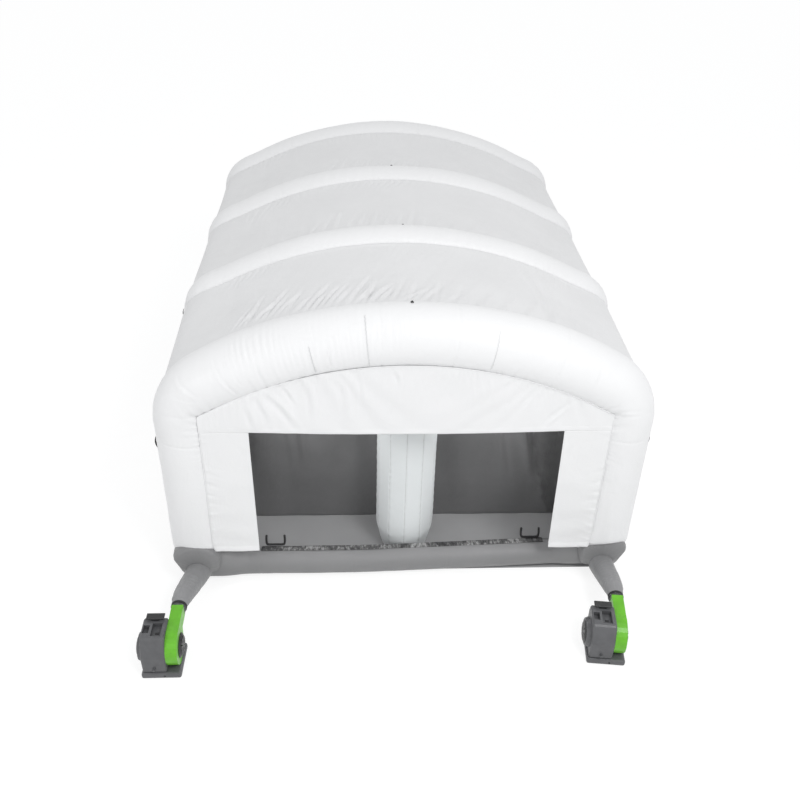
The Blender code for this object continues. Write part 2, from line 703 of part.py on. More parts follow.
def make_blower(prefix, place):
    """One blower's pieces. Every mesh is in the blower's frame, and place puts it in the booth."""
    made = []

    def put(name, bm, colour=None, rough=0.5, metal=0.0, smooth=True):
        obj = add(f"{prefix}_{name}", bm, colour, rough, metal, smooth)
        made.append(obj)
        return obj

    # Base tray
    tray = put("blower_base", box((BASE_X0, BASE_BACK, 0), (BASE_X1, BASE_FRONT, BASE_H)), HOUSING_GREY)
    bevel(tray, 0.018, 2)
    notch = box((-0.006, BASE_BACK - 0.01, 0.016), (0.006, BASE_BACK + 0.022, 0.042))
    boolean(tray, put("slot_cut", notch))
    seat = prism_x(spiral(-GAP, NOZZLE_Y), SCROLL_X0 - GAP, SCROLL_X1 + GAP)
    boolean(tray, put("scroll_seat", seat))

    # Motor housing, with two deep recesses in its top and a round motor cover
    low = BASE_H + GAP
    corners = [(0.145, low), (-0.178, low), (-0.185, 0.250), (-0.120, HOUSING_TOP), (0.128, HOUSING_TOP), (0.156, 0.350)]
    outline = rounded(corners, [0.02, 0.02, 0.05, 0.04, 0.03, 0.04])
    housing = put("blower_housing", prism_x(outline, HOUSING_X0, HOUSING_X1), HOUSING_GREY)
    bevel(housing, 0.010, 1, 60)
    drum = cone_x(DRUM_R * 0.82, DRUM_R, HOUSING_X0 - DRUM_OUT, HOUSING_X0 + 0.02, 0, WHEEL_Z)
    boolean(housing, put("drum", drum), "UNION")
    cavity = cone_x(DRUM_R - 0.03, DRUM_R - 0.03, HOUSING_X0 - 0.012, HOUSING_X1 - HOUSING_WALL, 0, WHEEL_Z)
    mouth = cone_x(MOTOR_GRILLE_R - 0.012, MOTOR_GRILLE_R - 0.012, HOUSING_X0 - DRUM_OUT - 0.02, HOUSING_X0, 0, WHEEL_Z)
    boolean(housing, put("motor_cavity", cavity))
    boolean(housing, put("motor_mouth", mouth))
    bore = cone_x(SHAFT_R * 2, SHAFT_R * 2, HOUSING_X1 - 0.03, HOUSING_X1 + 0.03, 0, WHEEL_Z, 16)
    boolean(housing, put("shaft_opening", bore))
    floor_z = HOUSING_TOP - RECESS_DEEP
    for n, (x0, x1, y0, y1) in enumerate(RECESSES):
        boolean(housing, put(f"recess_{n}", box((x0, y0, floor_z), (x1, y1, HOUSING_TOP + 0.05))))

    # Green scroll casing round the wheel, open at the intake, the shaft and the nozzle
    scroll = put("blower_scroll", prism_x(spiral(0.0, NOZZLE_Y), SCROLL_X0, SCROLL_X1), GREEN, 0.4)
    chamber = prism_x(spiral(SCROLL_WALL, NOZZLE_Y + 0.03), SCROLL_X0 + SCROLL_WALL, SCROLL_X1 - SCROLL_WALL)
    boolean(scroll, put("scroll_chamber", chamber))
    intake = cone_x(INTAKE_R, INTAKE_R, SCROLL_X1 - 0.02, SCROLL_X1 + 0.02, 0, WHEEL_Z)
    boolean(scroll, put("intake_hole", intake))
    shaft_hole = cone_x(SHAFT_R * 2, SHAFT_R * 2, SCROLL_X0 - 0.02, SCROLL_X0 + 0.02, 0, WHEEL_Z, 16)
    boolean(scroll, put("shaft_hole", shaft_hole))

    # Outlet collar: from the nozzle's rectangle to a round end that the duct slips over
    cx = (SCROLL_X0 + SCROLL_X1) / 2
    stages = []
    for wall in (0.0, SCROLL_WALL):
        rings = []
        for y, share in ((0.0, 0.0), (COLLAR_LEN - SLEEVE - 0.003, 1.0), (COLLAR_LEN, 1.0)):
            ring = []
            for n in range(16):
                a = 2 * pi * n / 16
                square = max(abs(cos(a)), abs(sin(a)))
                half_x = (SCROLL_W / 2 - wall) * cos(a) / square
                half_z = (NOZZLE_H / 2 - wall) * sin(a) / square
                round_x = (COLLAR_R - wall) * cos(a)
                round_z = (COLLAR_R - wall) * sin(a)
                x = half_x + (round_x - half_x) * share
                z = half_z + (round_z - half_z) * share
                ring.append(Vector((cx + x, COLLAR_Y + y, NOZZLE_Z + z)))
            rings.append(ring)
        if wall:
            rings[0] = [p - Vector((0, 0.01, 0)) for p in rings[0]]
            rings[-1] = [p + Vector((0, 0.01, 0)) for p in rings[-1]]
        stages.append(loft(rings, True))
    collar = put("outlet_collar", stages[0], HOUSING_GREY)
    boolean(collar, put("collar_bore", stages[1]))

    # Intake guard: a domed disc with slots between its spokes
    x = SCROLL_X1 + GAP
    dome = [(x, GRILLE_R), (x + GRILLE_T, GRILLE_R), (x + GRILLE_DOME, GRILLE_R * 0.72), (x + GRILLE_DOME, 0.02)]
    guard = put("intake_grille", guard_shell(dome, GRILLE_T), BLACK, 0.5)
    boolean(guard, put("intake_slots", slots(GRILLE_SLOTS, 0.030, GRILLE_R * 0.80, 0.009, x - 0.05, x + 0.06)))
    x = HOUSING_X0 - DRUM_OUT - GAP
    flat = [(x, MOTOR_GRILLE_R), (x - 0.004, MOTOR_GRILLE_R), (x - 0.014, MOTOR_GRILLE_R * 0.8), (x - 0.014, 0.02)]
    guard = put("motor_grille", guard_shell(flat, 0.004), BLACK, 0.5)
    boolean(guard, put("motor_slots", slots(MOTOR_SLOTS, 0.030, MOTOR_GRILLE_R * 0.74, 0.012, x - 0.05, x + 0.05)))

    # Fan wheel: back plate, hub, curved-back blades and front ring
    back = cone_x(WHEEL_R, WHEEL_R, WHEEL_X0, WHEEL_X0 + 0.003, 0, WHEEL_Z)
    wheel = put("impeller", back, BLACK, 0.45)
    hub = cone_x(HUB_R, HUB_R * 0.8, WHEEL_X0 + 0.001, WHEEL_X0 + 0.034, 0, WHEEL_Z, 16)
    boolean(wheel, put("hub", hub), "UNION")
    boolean(wheel, put("blades", blades()), "UNION")
    ring = cone_x(WHEEL_R, WHEEL_R, WHEEL_X0 + WHEEL_W - 0.004, WHEEL_X0 + WHEEL_W, 0, WHEEL_Z)
    rim = put("rim", ring)
    eye = cone_x(WHEEL_R - 0.016, WHEEL_R - 0.016, WHEEL_X0 + WHEEL_W - 0.01, WHEEL_X0 + WHEEL_W + 0.01, 0, WHEEL_Z)
    boolean(rim, put("rim_eye", eye))
    boolean(wheel, rim, "UNION")
    hole = cone_x(SHAFT_R + GAP, SHAFT_R + GAP, WHEEL_X0 - 0.01, WHEEL_X0 + 0.05, 0, WHEEL_Z, 12)
    boolean(wheel, put("hub_bore", hole))
    wheel_end = WHEEL_X0 + 0.036
    motor_face = HOUSING_X1 - HOUSING_WALL - GAP
    shaft = cone_x(SHAFT_R, SHAFT_R, motor_face - 0.030, wheel_end, 0, WHEEL_Z, 12)
    spindle = put("motor_shaft", shaft, STEEL, 0.3, 1.0)
    nut = cone_x(SHAFT_R * 1.7, SHAFT_R * 1.7, wheel_end - 0.0015, wheel_end + 0.006, 0, WHEEL_Z, 6)
    boolean(spindle, put("shaft_nut", nut), "UNION")

    # Motor, bolted by its flange to the housing's inner wall
    can = put("motor", cone_x(MOTOR_R, MOTOR_R, motor_face - MOTOR_LEN, motor_face, 0, WHEEL_Z, 20), STEEL, 0.4, 0.8)
    flange = cone_x(MOTOR_FLANGE_R, MOTOR_FLANGE_R, motor_face - 0.006, motor_face, 0, WHEEL_Z, 20)
    boolean(can, put("motor_flange", flange), "UNION")
    boss = cone_x(0.020, 0.024, motor_face - MOTOR_LEN - 0.012, motor_face - MOTOR_LEN + 0.005, 0, WHEEL_Z, 12)
    boolean(can, put("motor_boss", boss), "UNION")
    well = cone_x(SHAFT_R + GAP, SHAFT_R + GAP, motor_face - 0.030 - GAP, motor_face + 0.01, 0, WHEEL_Z, 12)
    boolean(can, put("motor_bore", well))

    # Carrying handle: a neck with a flat plate that fingers hook under
    top = HOUSING_TOP + GAP
    hx = (HOUSING_X0 + HOUSING_X1) / 2
    hy = HANDLE_Y
    neck = box((hx - 0.032, hy - 0.018, top), (hx + 0.032, hy + 0.018, top + 0.024))
    handle = put("blower_handle", neck, BLACK, 0.5)
    plate = box((hx - HANDLE_W / 2, hy - 0.018, top + 0.020), (hx + HANDLE_W / 2, hy + 0.052, top + 0.032))
    boolean(handle, put("handle_plate", plate), "UNION")
    bevel(handle, 0.004, 1)

    # Rocker switch, which tips about X in a well in the right-hand recess's floor
    half = SWITCH_H / 2 + SWITCH_EASE
    well = box((-SWITCH_W / 2 - GAP, -half, -SWITCH_DEEP), (SWITCH_W / 2 + GAP, half, 0.002))
    bmesh.ops.translate(well, vec=(SWITCH_X, SWITCH_Y, floor_z), verts=well.verts)
    boolean(housing, put("switch_well", well))
    h = SWITCH_H / 2
    profile = [(-h, -0.004), (h, -0.004), (h, 0.004), (0.0, 0.0065), (-h, 0.004)]
    switch = put("rocker_switch", prism_x(profile, -SWITCH_W / 2, SWITCH_W / 2), BLACK, 0.35, smooth=False)
    switch.location = (SWITCH_X, SWITCH_Y, floor_z)

    # Moulded cable gland low on the housing's back, where the lead would enter
    gland = lying_y(-0.085, -0.183 - 0.022, -0.183 + 0.014, 0.115, GLAND_R, 10)
    boolean(housing, put("gland", gland), "UNION")
    nut = lying_y(-0.085, -0.183 - 0.010, -0.183 + 0.012, 0.115, GLAND_R * 1.35, 6)
    boolean(housing, put("gland_nut", nut), "UNION")

    for obj in made:
        obj.matrix_world = place @ obj.matrix_basis
    return cx


def guard_shell(profile, thickness):
    """A guard turned about the wheel's axis from (x, radius) points, with a closed middle."""
    inward = -1.0 if profile[-1][0] > profile[0][0] else 1.0
    inner = [(px + inward * thickness, pr) for px, pr in reversed(profile[2:])]
    inner.append((profile[0][0], profile[0][1] - thickness * 2))
    ring_profile = [(profile[-1][0], 0.0)] + list(reversed(profile)) + [inner[-1]] + list(reversed(inner[:-1]))
    ring_profile.append((profile[-1][0] + inward * thickness, 0.0))
    sides = 16
    bm = bmesh.new()
    rows = []
    for px, pr in ring_profile:
        if pr == 0.0:
            rows.append([bm.verts.new((px, 0, WHEEL_Z))])
            continue
        turn = [2 * pi * n / sides for n in range(sides)]
        rows.append([bm.verts.new((px, pr * cos(a), WHEEL_Z + pr * sin(a))) for a in turn])
    for a, b in zip(rows, rows[1:]):
        for n in range(sides):
            m = (n + 1) % sides
            if len(a) == 1:
                bm.faces.new((a[0], b[n], b[m]))
            elif len(b) == 1:
                bm.faces.new((a[n], a[m], b[0]))
            else:
                bm.faces.new((a[n], a[m], b[m], b[n]))
    bmesh.ops.recalc_face_normals(bm, faces=bm.faces)
    return bm


def slots(count, r0, r1, width, x0, x1):
    """Radial slots as boxes round the wheel's axis."""
    cuts = []
    for n in range(count):
        cut = box((x0, r0, -width / 2), (x1, r1, width / 2))
        turn = Matrix.Rotation(2 * pi * (n + 0.5) / count, 3, "X")
        bmesh.ops.rotate(cut, matrix=turn, verts=cut.verts)
        bmesh.ops.translate(cut, vec=(0, 0, WHEEL_Z), verts=cut.verts)
        cuts.append(cut)
    return merge(*cuts)


def blades():
    """The wheel's blades, each leaning forward round the rim."""
    cuts = []
    for n in range(WHEEL_BLADES):
        blade = box((WHEEL_X0 + 0.001, -BLADE_DEPTH / 2, -BLADE_T / 2), (WHEEL_X0 + WHEEL_W - 0.001, BLADE_DEPTH / 2, BLADE_T / 2))
        bmesh.ops.rotate(blade, matrix=Matrix.Rotation(radians(BLADE_LEAN_DEG), 3, "X"), verts=blade.verts)
        bmesh.ops.translate(blade, vec=(0, WHEEL_R - 0.016, 0), verts=blade.verts)
        bmesh.ops.rotate(blade, matrix=Matrix.Rotation(2 * pi * n / WHEEL_BLADES, 3, "X"), verts=blade.verts)
        bmesh.ops.translate(blade, vec=(0, 0, WHEEL_Z), verts=blade.verts)
        cuts.append(blade)
    return merge(*cuts)


def duct_rings(start, end, r0, r1, way0, way1, steps):
    """Round rings along a smooth path from start to end, leaving along way0 and arriving along way1."""
    reach = (end - start).length * 0.4
    rings = []
    for n in range(steps + 1):
        t = n / steps
        a, b, c, d = start, start + way0 * reach, end - way1 * reach, end
        point = a * (1 - t) ** 3 + b * 3 * t * (1 - t) ** 2 + c * 3 * t * t * (1 - t) + d * t ** 3
        way = (b - a) * 3 * (1 - t) ** 2 + (c - b) * 6 * t * (1 - t) + (d - c) * 3 * t * t
        way.normalize()
        across = way.cross(Vector((0, 0, 1))).normalized()
        up = across.cross(way).normalized()
        r = r1 + (r0 - r1) * (1 - t) ** 0.8
        rings.append([point + (across * cos(2 * pi * k / 16) + up * sin(2 * pi * k / 16)) * r for k in range(16)])
    return rings


for side, sign in (("left", -1.0), ("right", 1.0)):
    bx, by, turn = BLOWER_AT[side]
    place = Matrix.Translation((bx, FRONT_Y + by, 0)) @ Matrix.Rotation(radians(turn), 4, "Z")
    outlet_x = make_blower(side, place)

    # Fabric duct from the front foot, slipped over the collar, with its strap
    end = place @ Vector((outlet_x, COLLAR_Y + COLLAR_LEN - SLEEVE, NOZZLE_Z))
    way = place.to_3x3() @ Vector((0, -1, 0))
    start = Vector((sign * LEG_FRONT_X, FRONT_Y - FRONT_TUBE_R * 0.85, DUCT_ROOT_Z))
    r_end = COLLAR_R + GAP + DUCT_WALL
    rings = duct_rings(start, end - way * (SLEEVE + 0.01), DUCT_ROOT_R, r_end, Vector((0, -1, 0)), way, 4)
    rings.append([p + way * (SLEEVE + 0.01) for p in rings[-1]])
    duct = add(f"{side}_duct", loft(rings), GREY, 0.5)
    solidify(duct, DUCT_WALL, -1.0)
    boolean(duct, BASE_CLEAR[side])

    band = []
    for r, w in ((r_end + GAP, -0.5), (r_end + GAP, 0.5), (r_end + GAP + WEB_T, 0.5), (r_end + GAP + WEB_T, -0.5)):
        mid = end - way * (SLEEVE / 2) + way * STRAP_W * w
        side_way = way.cross(Vector((0, 0, 1))).normalized()
        ring = [mid + (side_way * cos(2 * pi * k / 16) + Vector((0, 0, 1)) * sin(2 * pi * k / 16)) * r for k in range(16)]
        band.append(ring)
    bm = bmesh.new()
    rows = [[bm.verts.new(p) for p in ring] for ring in band]
    for a, b in zip(rows, rows[1:] + rows[:1]):
        for k in range(16):
            m = (k + 1) % 16
            bm.faces.new((a[k], a[m], b[m], b[k]))
    bmesh.ops.recalc_face_normals(bm, faces=bm.faces)
    add(f"{side}_duct_strap", bm, BLACK, 0.6)
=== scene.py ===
# %% [markdown]
# # Inflatable paint booth
# The booth is a tent of air tubes. Four arches stand on grey bases, thin cloth panels close the bays between
# them, and two blowers keep everything full through cloth ducts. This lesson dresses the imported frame: the
# moulded blower parts keep their meshes and get finishes, and all the cloth is made new, at the same places.

from math import asin, cos, pi, radians, sin

import bmesh
import bpy
import numpy as np
from mathutils import Matrix, Vector


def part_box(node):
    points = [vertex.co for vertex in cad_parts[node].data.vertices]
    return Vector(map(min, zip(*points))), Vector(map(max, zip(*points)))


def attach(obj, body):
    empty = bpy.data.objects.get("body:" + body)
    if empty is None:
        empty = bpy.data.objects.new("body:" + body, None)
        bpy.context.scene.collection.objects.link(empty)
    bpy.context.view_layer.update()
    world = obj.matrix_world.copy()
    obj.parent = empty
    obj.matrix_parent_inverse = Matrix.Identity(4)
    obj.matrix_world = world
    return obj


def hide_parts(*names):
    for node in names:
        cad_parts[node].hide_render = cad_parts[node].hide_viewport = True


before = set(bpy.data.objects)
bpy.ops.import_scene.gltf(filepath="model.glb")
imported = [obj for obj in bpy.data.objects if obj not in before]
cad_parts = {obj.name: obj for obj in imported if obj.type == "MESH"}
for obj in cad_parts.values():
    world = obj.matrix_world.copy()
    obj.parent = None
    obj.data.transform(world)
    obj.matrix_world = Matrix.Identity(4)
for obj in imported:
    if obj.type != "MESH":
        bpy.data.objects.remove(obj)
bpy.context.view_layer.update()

# %% [markdown]
# ## The booth's own sizes
# The cloth has to lie where the frame is, so the driving sizes are stated once more, in metres. The arch is a
# straight leg, a tight bend at the eave, and a shallow crown. A place on it is given by its distance from the
# middle of the crown, measured along the arch, which is how a sewer would mark the tube.

# %% Sizes of the arches and bays
WIDTH, CROWN_Z, CROWN_R, EAVE_R = 4.57, 2.68, 3.65, 0.43
FRONT_Y, BAY, BAYS = -2.175, 1.84, 3
REAR_Y = FRONT_Y + BAY * BAYS
TUBE_R = (0.285, 0.24, 0.24, 0.24)  # from the front arch to the rear one
RUN_X, RUN_R = 2.02, 0.257  # the base tube
LEG_LOW, LEG_TAPER = 0.40, 0.24  # where a leg narrows to the base, and by how much
INNER_FULL, CROWN_FULL = 0.296, 0.022  # more cloth at the front arch's inner eaves and on its crown
ROOF_SEAM, EAVE_SEAM, LEG_SEAM, FRONT_SEAM, END_SEAM = 52.0, 10.0, 25.0, 122.0, 118.0  # degrees
SIDE_GAP, END_GAP = 0.0015, 0.0020
ROOF_SAG, WALL_SAG = 0.055, 0.004
SHOULDER = 0.045  # how much fuller the three rear arches stand at the eaves
THRESHOLD_R, THRESHOLD_IN = 0.13, 0.08
WINDOW_HALF, WINDOW_TOP = 1.415, 1.84
DOOR_HALF, DOOR_TOP = 1.30, 1.80
THRESHOLD_Y = (FRONT_Y - THRESHOLD_IN, REAR_Y + 0.055)
PANEL_SPAN, CLOTH, HEAVY_CLOTH = 1.46, 0.0012, 0.0015
SIDES = (("left", -1.0), ("right", 1.0))


def part(x):
    """x held between 0 and 1."""
    return np.clip(x, 0, 1)


def ease(x):
    """From 0 to 1 with a soft start and a soft end."""
    x = part(x)
    return x * x * (3 - 2 * x)


def bell(x):
    """One at zero, and falling to nothing on both sides."""
    return np.exp(-(x**2))


def arch_y(i):
    return FRONT_Y + BAY * i


def arch_lengths(r):
    """The angle where crown meets bend, the lengths from the middle to there, to the leg and to the base, and
    the eave's height, all on the centre line."""
    turn = asin((WIDTH / 2 - r - EAVE_R) / (CROWN_R - EAVE_R))
    crown = CROWN_R * turn
    bend = crown + EAVE_R * (pi / 2 - turn)
    eave_z = CROWN_Z - CROWN_R + (CROWN_R - EAVE_R) * cos(turn)
    return turn, crown, bend, bend + eave_z - LEG_LOW, eave_z


def arch_line(r, s):
    """The centre line's x and z, and the outward direction, at a distance s from the middle of the crown."""
    turn, crown, bend, _, eave_z = arch_lengths(r)
    leg_x = WIDTH / 2 - r
    d = np.abs(s)
    a = np.where(d < crown, d / CROWN_R, np.clip(turn + (d - crown) / EAVE_R, turn, pi / 2))
    x = np.where(d < crown, CROWN_R * np.sin(a), leg_x - EAVE_R + EAVE_R * np.sin(a))
    z = np.where(d < crown, CROWN_Z - CROWN_R + CROWN_R * np.cos(a), eave_z + EAVE_R * np.cos(a))
    z = z - np.maximum(d - bend, 0.0)
    full = (SHOULDER if r < TUBE_R[0] else 0.0) * bell((d - crown - 0.20) / 0.20)
    side = np.where(s < 0, -1.0, 1.0)
    return side * (x + full * np.sin(a)), z + full * np.cos(a), side * np.sin(a), np.cos(a)


def roof_seam(i, s):
    """The angle at which the roof's cloth joins arch i. It wraps far round the tube at the eaves."""
    _, crown, bend, _, _ = arch_lengths(TUBE_R[i])
    eave = ease((np.abs(s) - crown - 0.03) / (bend - crown + 0.02))
    leg = ease((np.abs(s) - bend) / 0.5)
    return ROOF_SEAM + (EAVE_SEAM - ROOF_SEAM) * eave + (LEG_SEAM - EAVE_SEAM) * leg


def tube_point(i, s, degrees, out=0.0):
    """A point on arch i: degrees from its outer side, turning to the front, and out of the cloth by out."""
    x, z, nx, nz = arch_line(TUBE_R[i], s)
    degrees = np.asarray(degrees)
    a = np.radians(degrees)
    r = TUBE_R[i] * (1 - LEG_TAPER * part((LEG_LOW - z) / 0.20) ** 1.9) + out
    reach = r * np.cos(a)
    if i == 0:
        turn, crown = arch_lengths(TUBE_R[i])[:2]
        mitre = np.clip((np.abs(s) - crown) / EAVE_R, 0, pi / 2 - turn)
        mitre = np.minimum(mitre, pi / 2 - turn - mitre)
        reach = reach + INNER_FULL * (1 / np.cos(mitre) - 1) * ease((degrees - 72.0) / 46.0)
        reach = reach + CROWN_FULL * part((1.9 - np.abs(s)) / 0.6) * part(1 - (degrees + 5) ** 2 / 3600)
    y = arch_y(i) - r * np.sin(a)
    return np.stack([x + reach * nx, y + 0 * x, z + reach * nz], -1)


CAP_INSET = (-0.028, -0.026, -0.020, -0.004, 0.040)
CAP_SHARE = (0.0, 0.50, 0.72, 0.91, 1.0)
BASE_ENDS = (FRONT_Y - TUBE_R[0], REAR_Y + TUBE_R[3] + 0.004)


def base_height(x, y):
    """How high the base tube's skin lies at this x and y, or zero beside the tube."""
    inset = np.minimum(y - BASE_ENDS[0], BASE_ENDS[1] - y)
    r = RUN_R * np.interp(inset, CAP_INSET, CAP_SHARE)
    aside = np.abs(np.abs(x) - RUN_X)
    return np.where(aside < r, RUN_R + np.sqrt(np.maximum(r * r - aside * aside, 0)), 0.0)


AROUND = np.linspace(-180, 180, 181)


def saddle(i):
    """The height at which the leg's skin meets the base tube, for each angle round the leg."""
    _, _, bend, _, eave_z = arch_lengths(TUBE_R[i])
    low = np.full(len(AROUND), 0.22)
    for z in np.linspace(0.22, 0.56, 171):
        p = tube_point(i, np.full(len(AROUND), bend + eave_z - z), AROUND)
        low = np.where(z <= base_height(p[:, 0], p[:, 1]), z, low)
    return low


SADDLES = [saddle(i) for i in range(4)]
print("arch lengths", [round(2 * arch_lengths(r)[3], 2) for r in TUBE_R], "m")

# %% [markdown]
# ## Camera
# The photograph was taken from high in front, a little to the left. The camera's place, turn and lens were
# found by laying the arches' edges over the photograph, so the render can be compared with it part by part.

# %% Camera
CAMERA_AT = Vector((-0.470, -8.699, 6.395))
YAW, PITCH, ROLL = 0.0620, 0.5898, 0.0310
SENSOR_MM, LENS_SHARE = 36.0, 869.8 / 800


def add_object(name, data):
    made = bpy.data.objects.new(name, data)
    bpy.context.scene.collection.objects.link(made)
    return made


ahead = Vector((sin(YAW) * cos(PITCH), cos(YAW) * cos(PITCH), -sin(PITCH)))
aside = Vector((cos(YAW), -sin(YAW), 0.0))
upward = aside.cross(ahead)
right = aside * cos(ROLL) + upward * sin(ROLL)
upright = upward * cos(ROLL) - aside * sin(ROLL)
lens = bpy.data.cameras.new("camera")
lens.sensor_width = SENSOR_MM
lens.lens = LENS_SHARE * SENSOR_MM
lens.clip_end = 60
camera = add_object("camera", lens)
camera.matrix_world = Matrix.Translation(CAMERA_AT) @ Matrix((right, upright, -ahead)).transposed().to_4x4()
bpy.context.scene.camera = camera
print("camera", [round(c, 2) for c in CAMERA_AT], "lens", round(lens.lens, 1), "mm")

# %% [markdown]
# ## Light and floor
# A big white tent of light surrounds the booth, with one broad soft lamp high at the front right, so that
# each tube has a bright top and a grey underside. Two weak lamps stand for the light that the chamber's
# walls pass on. The backdrop is white because camera rays see plain white there, and not because more light
# falls on the booth. The floor keeps a soft shadow, which sets the booth down.

# %% World, lamps and floor
SEEN_RAYS = ("Is Camera Ray", "Is Glossy Ray", "Is Transmission Ray")


def add_node(tree, kind, *feeds, **values):
    """A new node. Feeds are sockets or numbers for its inputs in order, values are set by name."""
    made = tree.nodes.new("ShaderNode" + kind)
    for key, value in values.items():
        if hasattr(made, key):
            setattr(made, key, value)
        else:
            made.inputs[key].default_value = value
    for socket, feed in zip(made.inputs, feeds):
        if isinstance(feed, (int, float)):
            socket.default_value = feed
        else:
            tree.links.new(feed, socket)
    return made


def seen_or_lit(tree, output, lit, seen):
    """Rays from the camera and off shiny parts find one shader, and rays that light the booth the other."""
    path = add_node(tree, "LightPath").outputs
    viewed = path[SEEN_RAYS[0]]
    for name in SEEN_RAYS[1:]:
        viewed = add_node(tree, "Math", viewed, path[name], operation="MAXIMUM").outputs[0]
    either = add_node(tree, "MixShader", viewed, lit.outputs[0], seen.outputs[0])
    add_node(tree, output, either.outputs[0])


def emptied(owner):
    """The owner's node tree, with nothing in it."""
    owner.use_nodes = True
    owner.node_tree.nodes.clear()
    return owner.node_tree


def lamp(name, at, aim, size, power):
    light = bpy.data.lights.new(name, "AREA")
    light.shape = "DISK"
    light.size = size
    light.energy = power
    holder = add_object(name, light)
    holder.location = at
    holder.rotation_euler = (Vector(aim) - Vector(at)).to_track_quat("-Z", "Y").to_euler()
    return holder


def link_piece(name, bm, finish):
    mesh = bpy.data.meshes.new(name)
    bm.to_mesh(mesh)
    bm.free()
    mesh.materials.append(finish)
    mesh.shade_smooth()
    return add_object(name, mesh)


scene = bpy.context.scene
scene.view_settings.view_transform = "Standard"
scene.world = bpy.data.worlds.new("studio")
sky = emptied(scene.world)
ambient = add_node(sky, "Background", Color=(0.98, 0.99, 1.0, 1.0), Strength=0.74)
white = add_node(sky, "Background", Color=(1, 1, 1, 1), Strength=1.0)
seen_or_lit(sky, "OutputWorld", ambient, white)

lamp("key_lamp", (4.5, -9.0, 10.6), (0.0, 0.0, 1.2), 4.5, 590)
lamp("fill_lamp", (-7.0, -9.0, 5.0), (-0.3, 0.0, 1.0), 6.0, 150)
for x in (-0.95, 0.95):
    lamp("chamber_lamp", (x, -1.85, 1.9), (x, -1.85, 0.0), 0.8, 9).visible_camera = False

pale = bpy.data.materials.new("studio_floor")
paint = emptied(pale)
plain = add_node(paint, "BsdfDiffuse", Color=(0.80, 0.80, 0.80, 1))
matt = add_node(paint, "BsdfDiffuse", Color=(0.26, 0.26, 0.26, 1))
glow = add_node(paint, "Emission", Strength=0.80)
both = add_node(paint, "AddShader", glow.outputs[0], matt.outputs[0])
seen_or_lit(paint, "OutputMaterial", plain, both)
bm = bmesh.new()
bmesh.ops.create_grid(bm, x_segments=1, y_segments=1, size=45.0)
bmesh.ops.translate(bm, vec=(0, 0, -0.002), verts=bm.verts)
link_piece("studio_floor", bm, pale)

# %% [markdown]
# ## Cloth finishes
# The booth is sewn from coated polyester: a fine plain weave under a thin smooth coat, which gives it a soft
# shine. A finish is built from the cloth's own UV map, in metres, so that threads keep their size and follow
# each panel. Three scales are mixed: the threads, the crinkles of handled cloth a few centimetres wide, and
# slow changes of tone. The small ones are bump, since they are far below the size of a face.

# %% Helpers for finishes


class Finish:
    """A material that is being built, with short ways to add its nodes."""

    def __init__(self, name, colour, rough, metal=0.0):
        self.material = bpy.data.materials.new(name)
        self.material.use_nodes = True
        self.tree = self.material.node_tree
        self.shader = self.tree.nodes["Principled BSDF"].inputs
        self.shader["Base Color"].default_value = (*colour, 1)
        self.shader["Roughness"].default_value = rough
        self.shader["Metallic"].default_value = metal
        self.coords = add_node(self.tree, "TexCoord")
        self.relief = None

    def place(self, source="UV", scale=(1, 1, 1), turn=0.0):
        where = self.coords.outputs[source]
        return add_node(self.tree, "Mapping", where, Scale=scale, Rotation=(0, 0, turn)).outputs[0]

    def noise(self, where, scale, detail=3.0, rough=0.55, bend=0.0):
        values = {"Scale": scale, "Detail": detail, "Roughness": rough, "Distortion": bend}
        return add_node(self.tree, "TexNoise", where, **values).outputs["Fac"]

    def waves(self, where, scale, way="X"):
        return add_node(self.tree, "TexWave", where, Scale=scale, bands_direction=way).outputs["Fac"]

    def maths(self, kind, a, b):
        return add_node(self.tree, "Math", a, b, operation=kind).outputs[0]

    def ramp(self, fac, stops):
        made = add_node(self.tree, "ValToRGB", fac)
        keys = made.color_ramp.elements
        while len(keys) < len(stops):
            keys.new(0.5)
        for key, (at, colour) in zip(keys, stops):
            key.position = at
            key.color = (*colour, 1)
        return made.outputs["Color"]

    def bump(self, height, distance, strength=1.0):
        made = add_node(self.tree, "Bump", Strength=strength, Distance=distance)
        self.tree.links.new(height, made.inputs["Height"])
        if self.relief is not None:
            self.tree.links.new(self.relief, made.inputs["Normal"])
        self.relief = made.outputs["Normal"]
        self.tree.links.new(self.relief, self.shader["Normal"])

    def colour(self, fac, *stops):
        self.tree.links.new(self.ramp(fac, stops), self.shader["Base Color"])

    def roughness(self, fac, low, high):
        self.tree.links.new(self.ramp(fac, [(0.3, (low,) * 3), (0.7, (high,) * 3)]), self.shader["Roughness"])


def tint(colour, share):
    return tuple(c * share for c in colour)


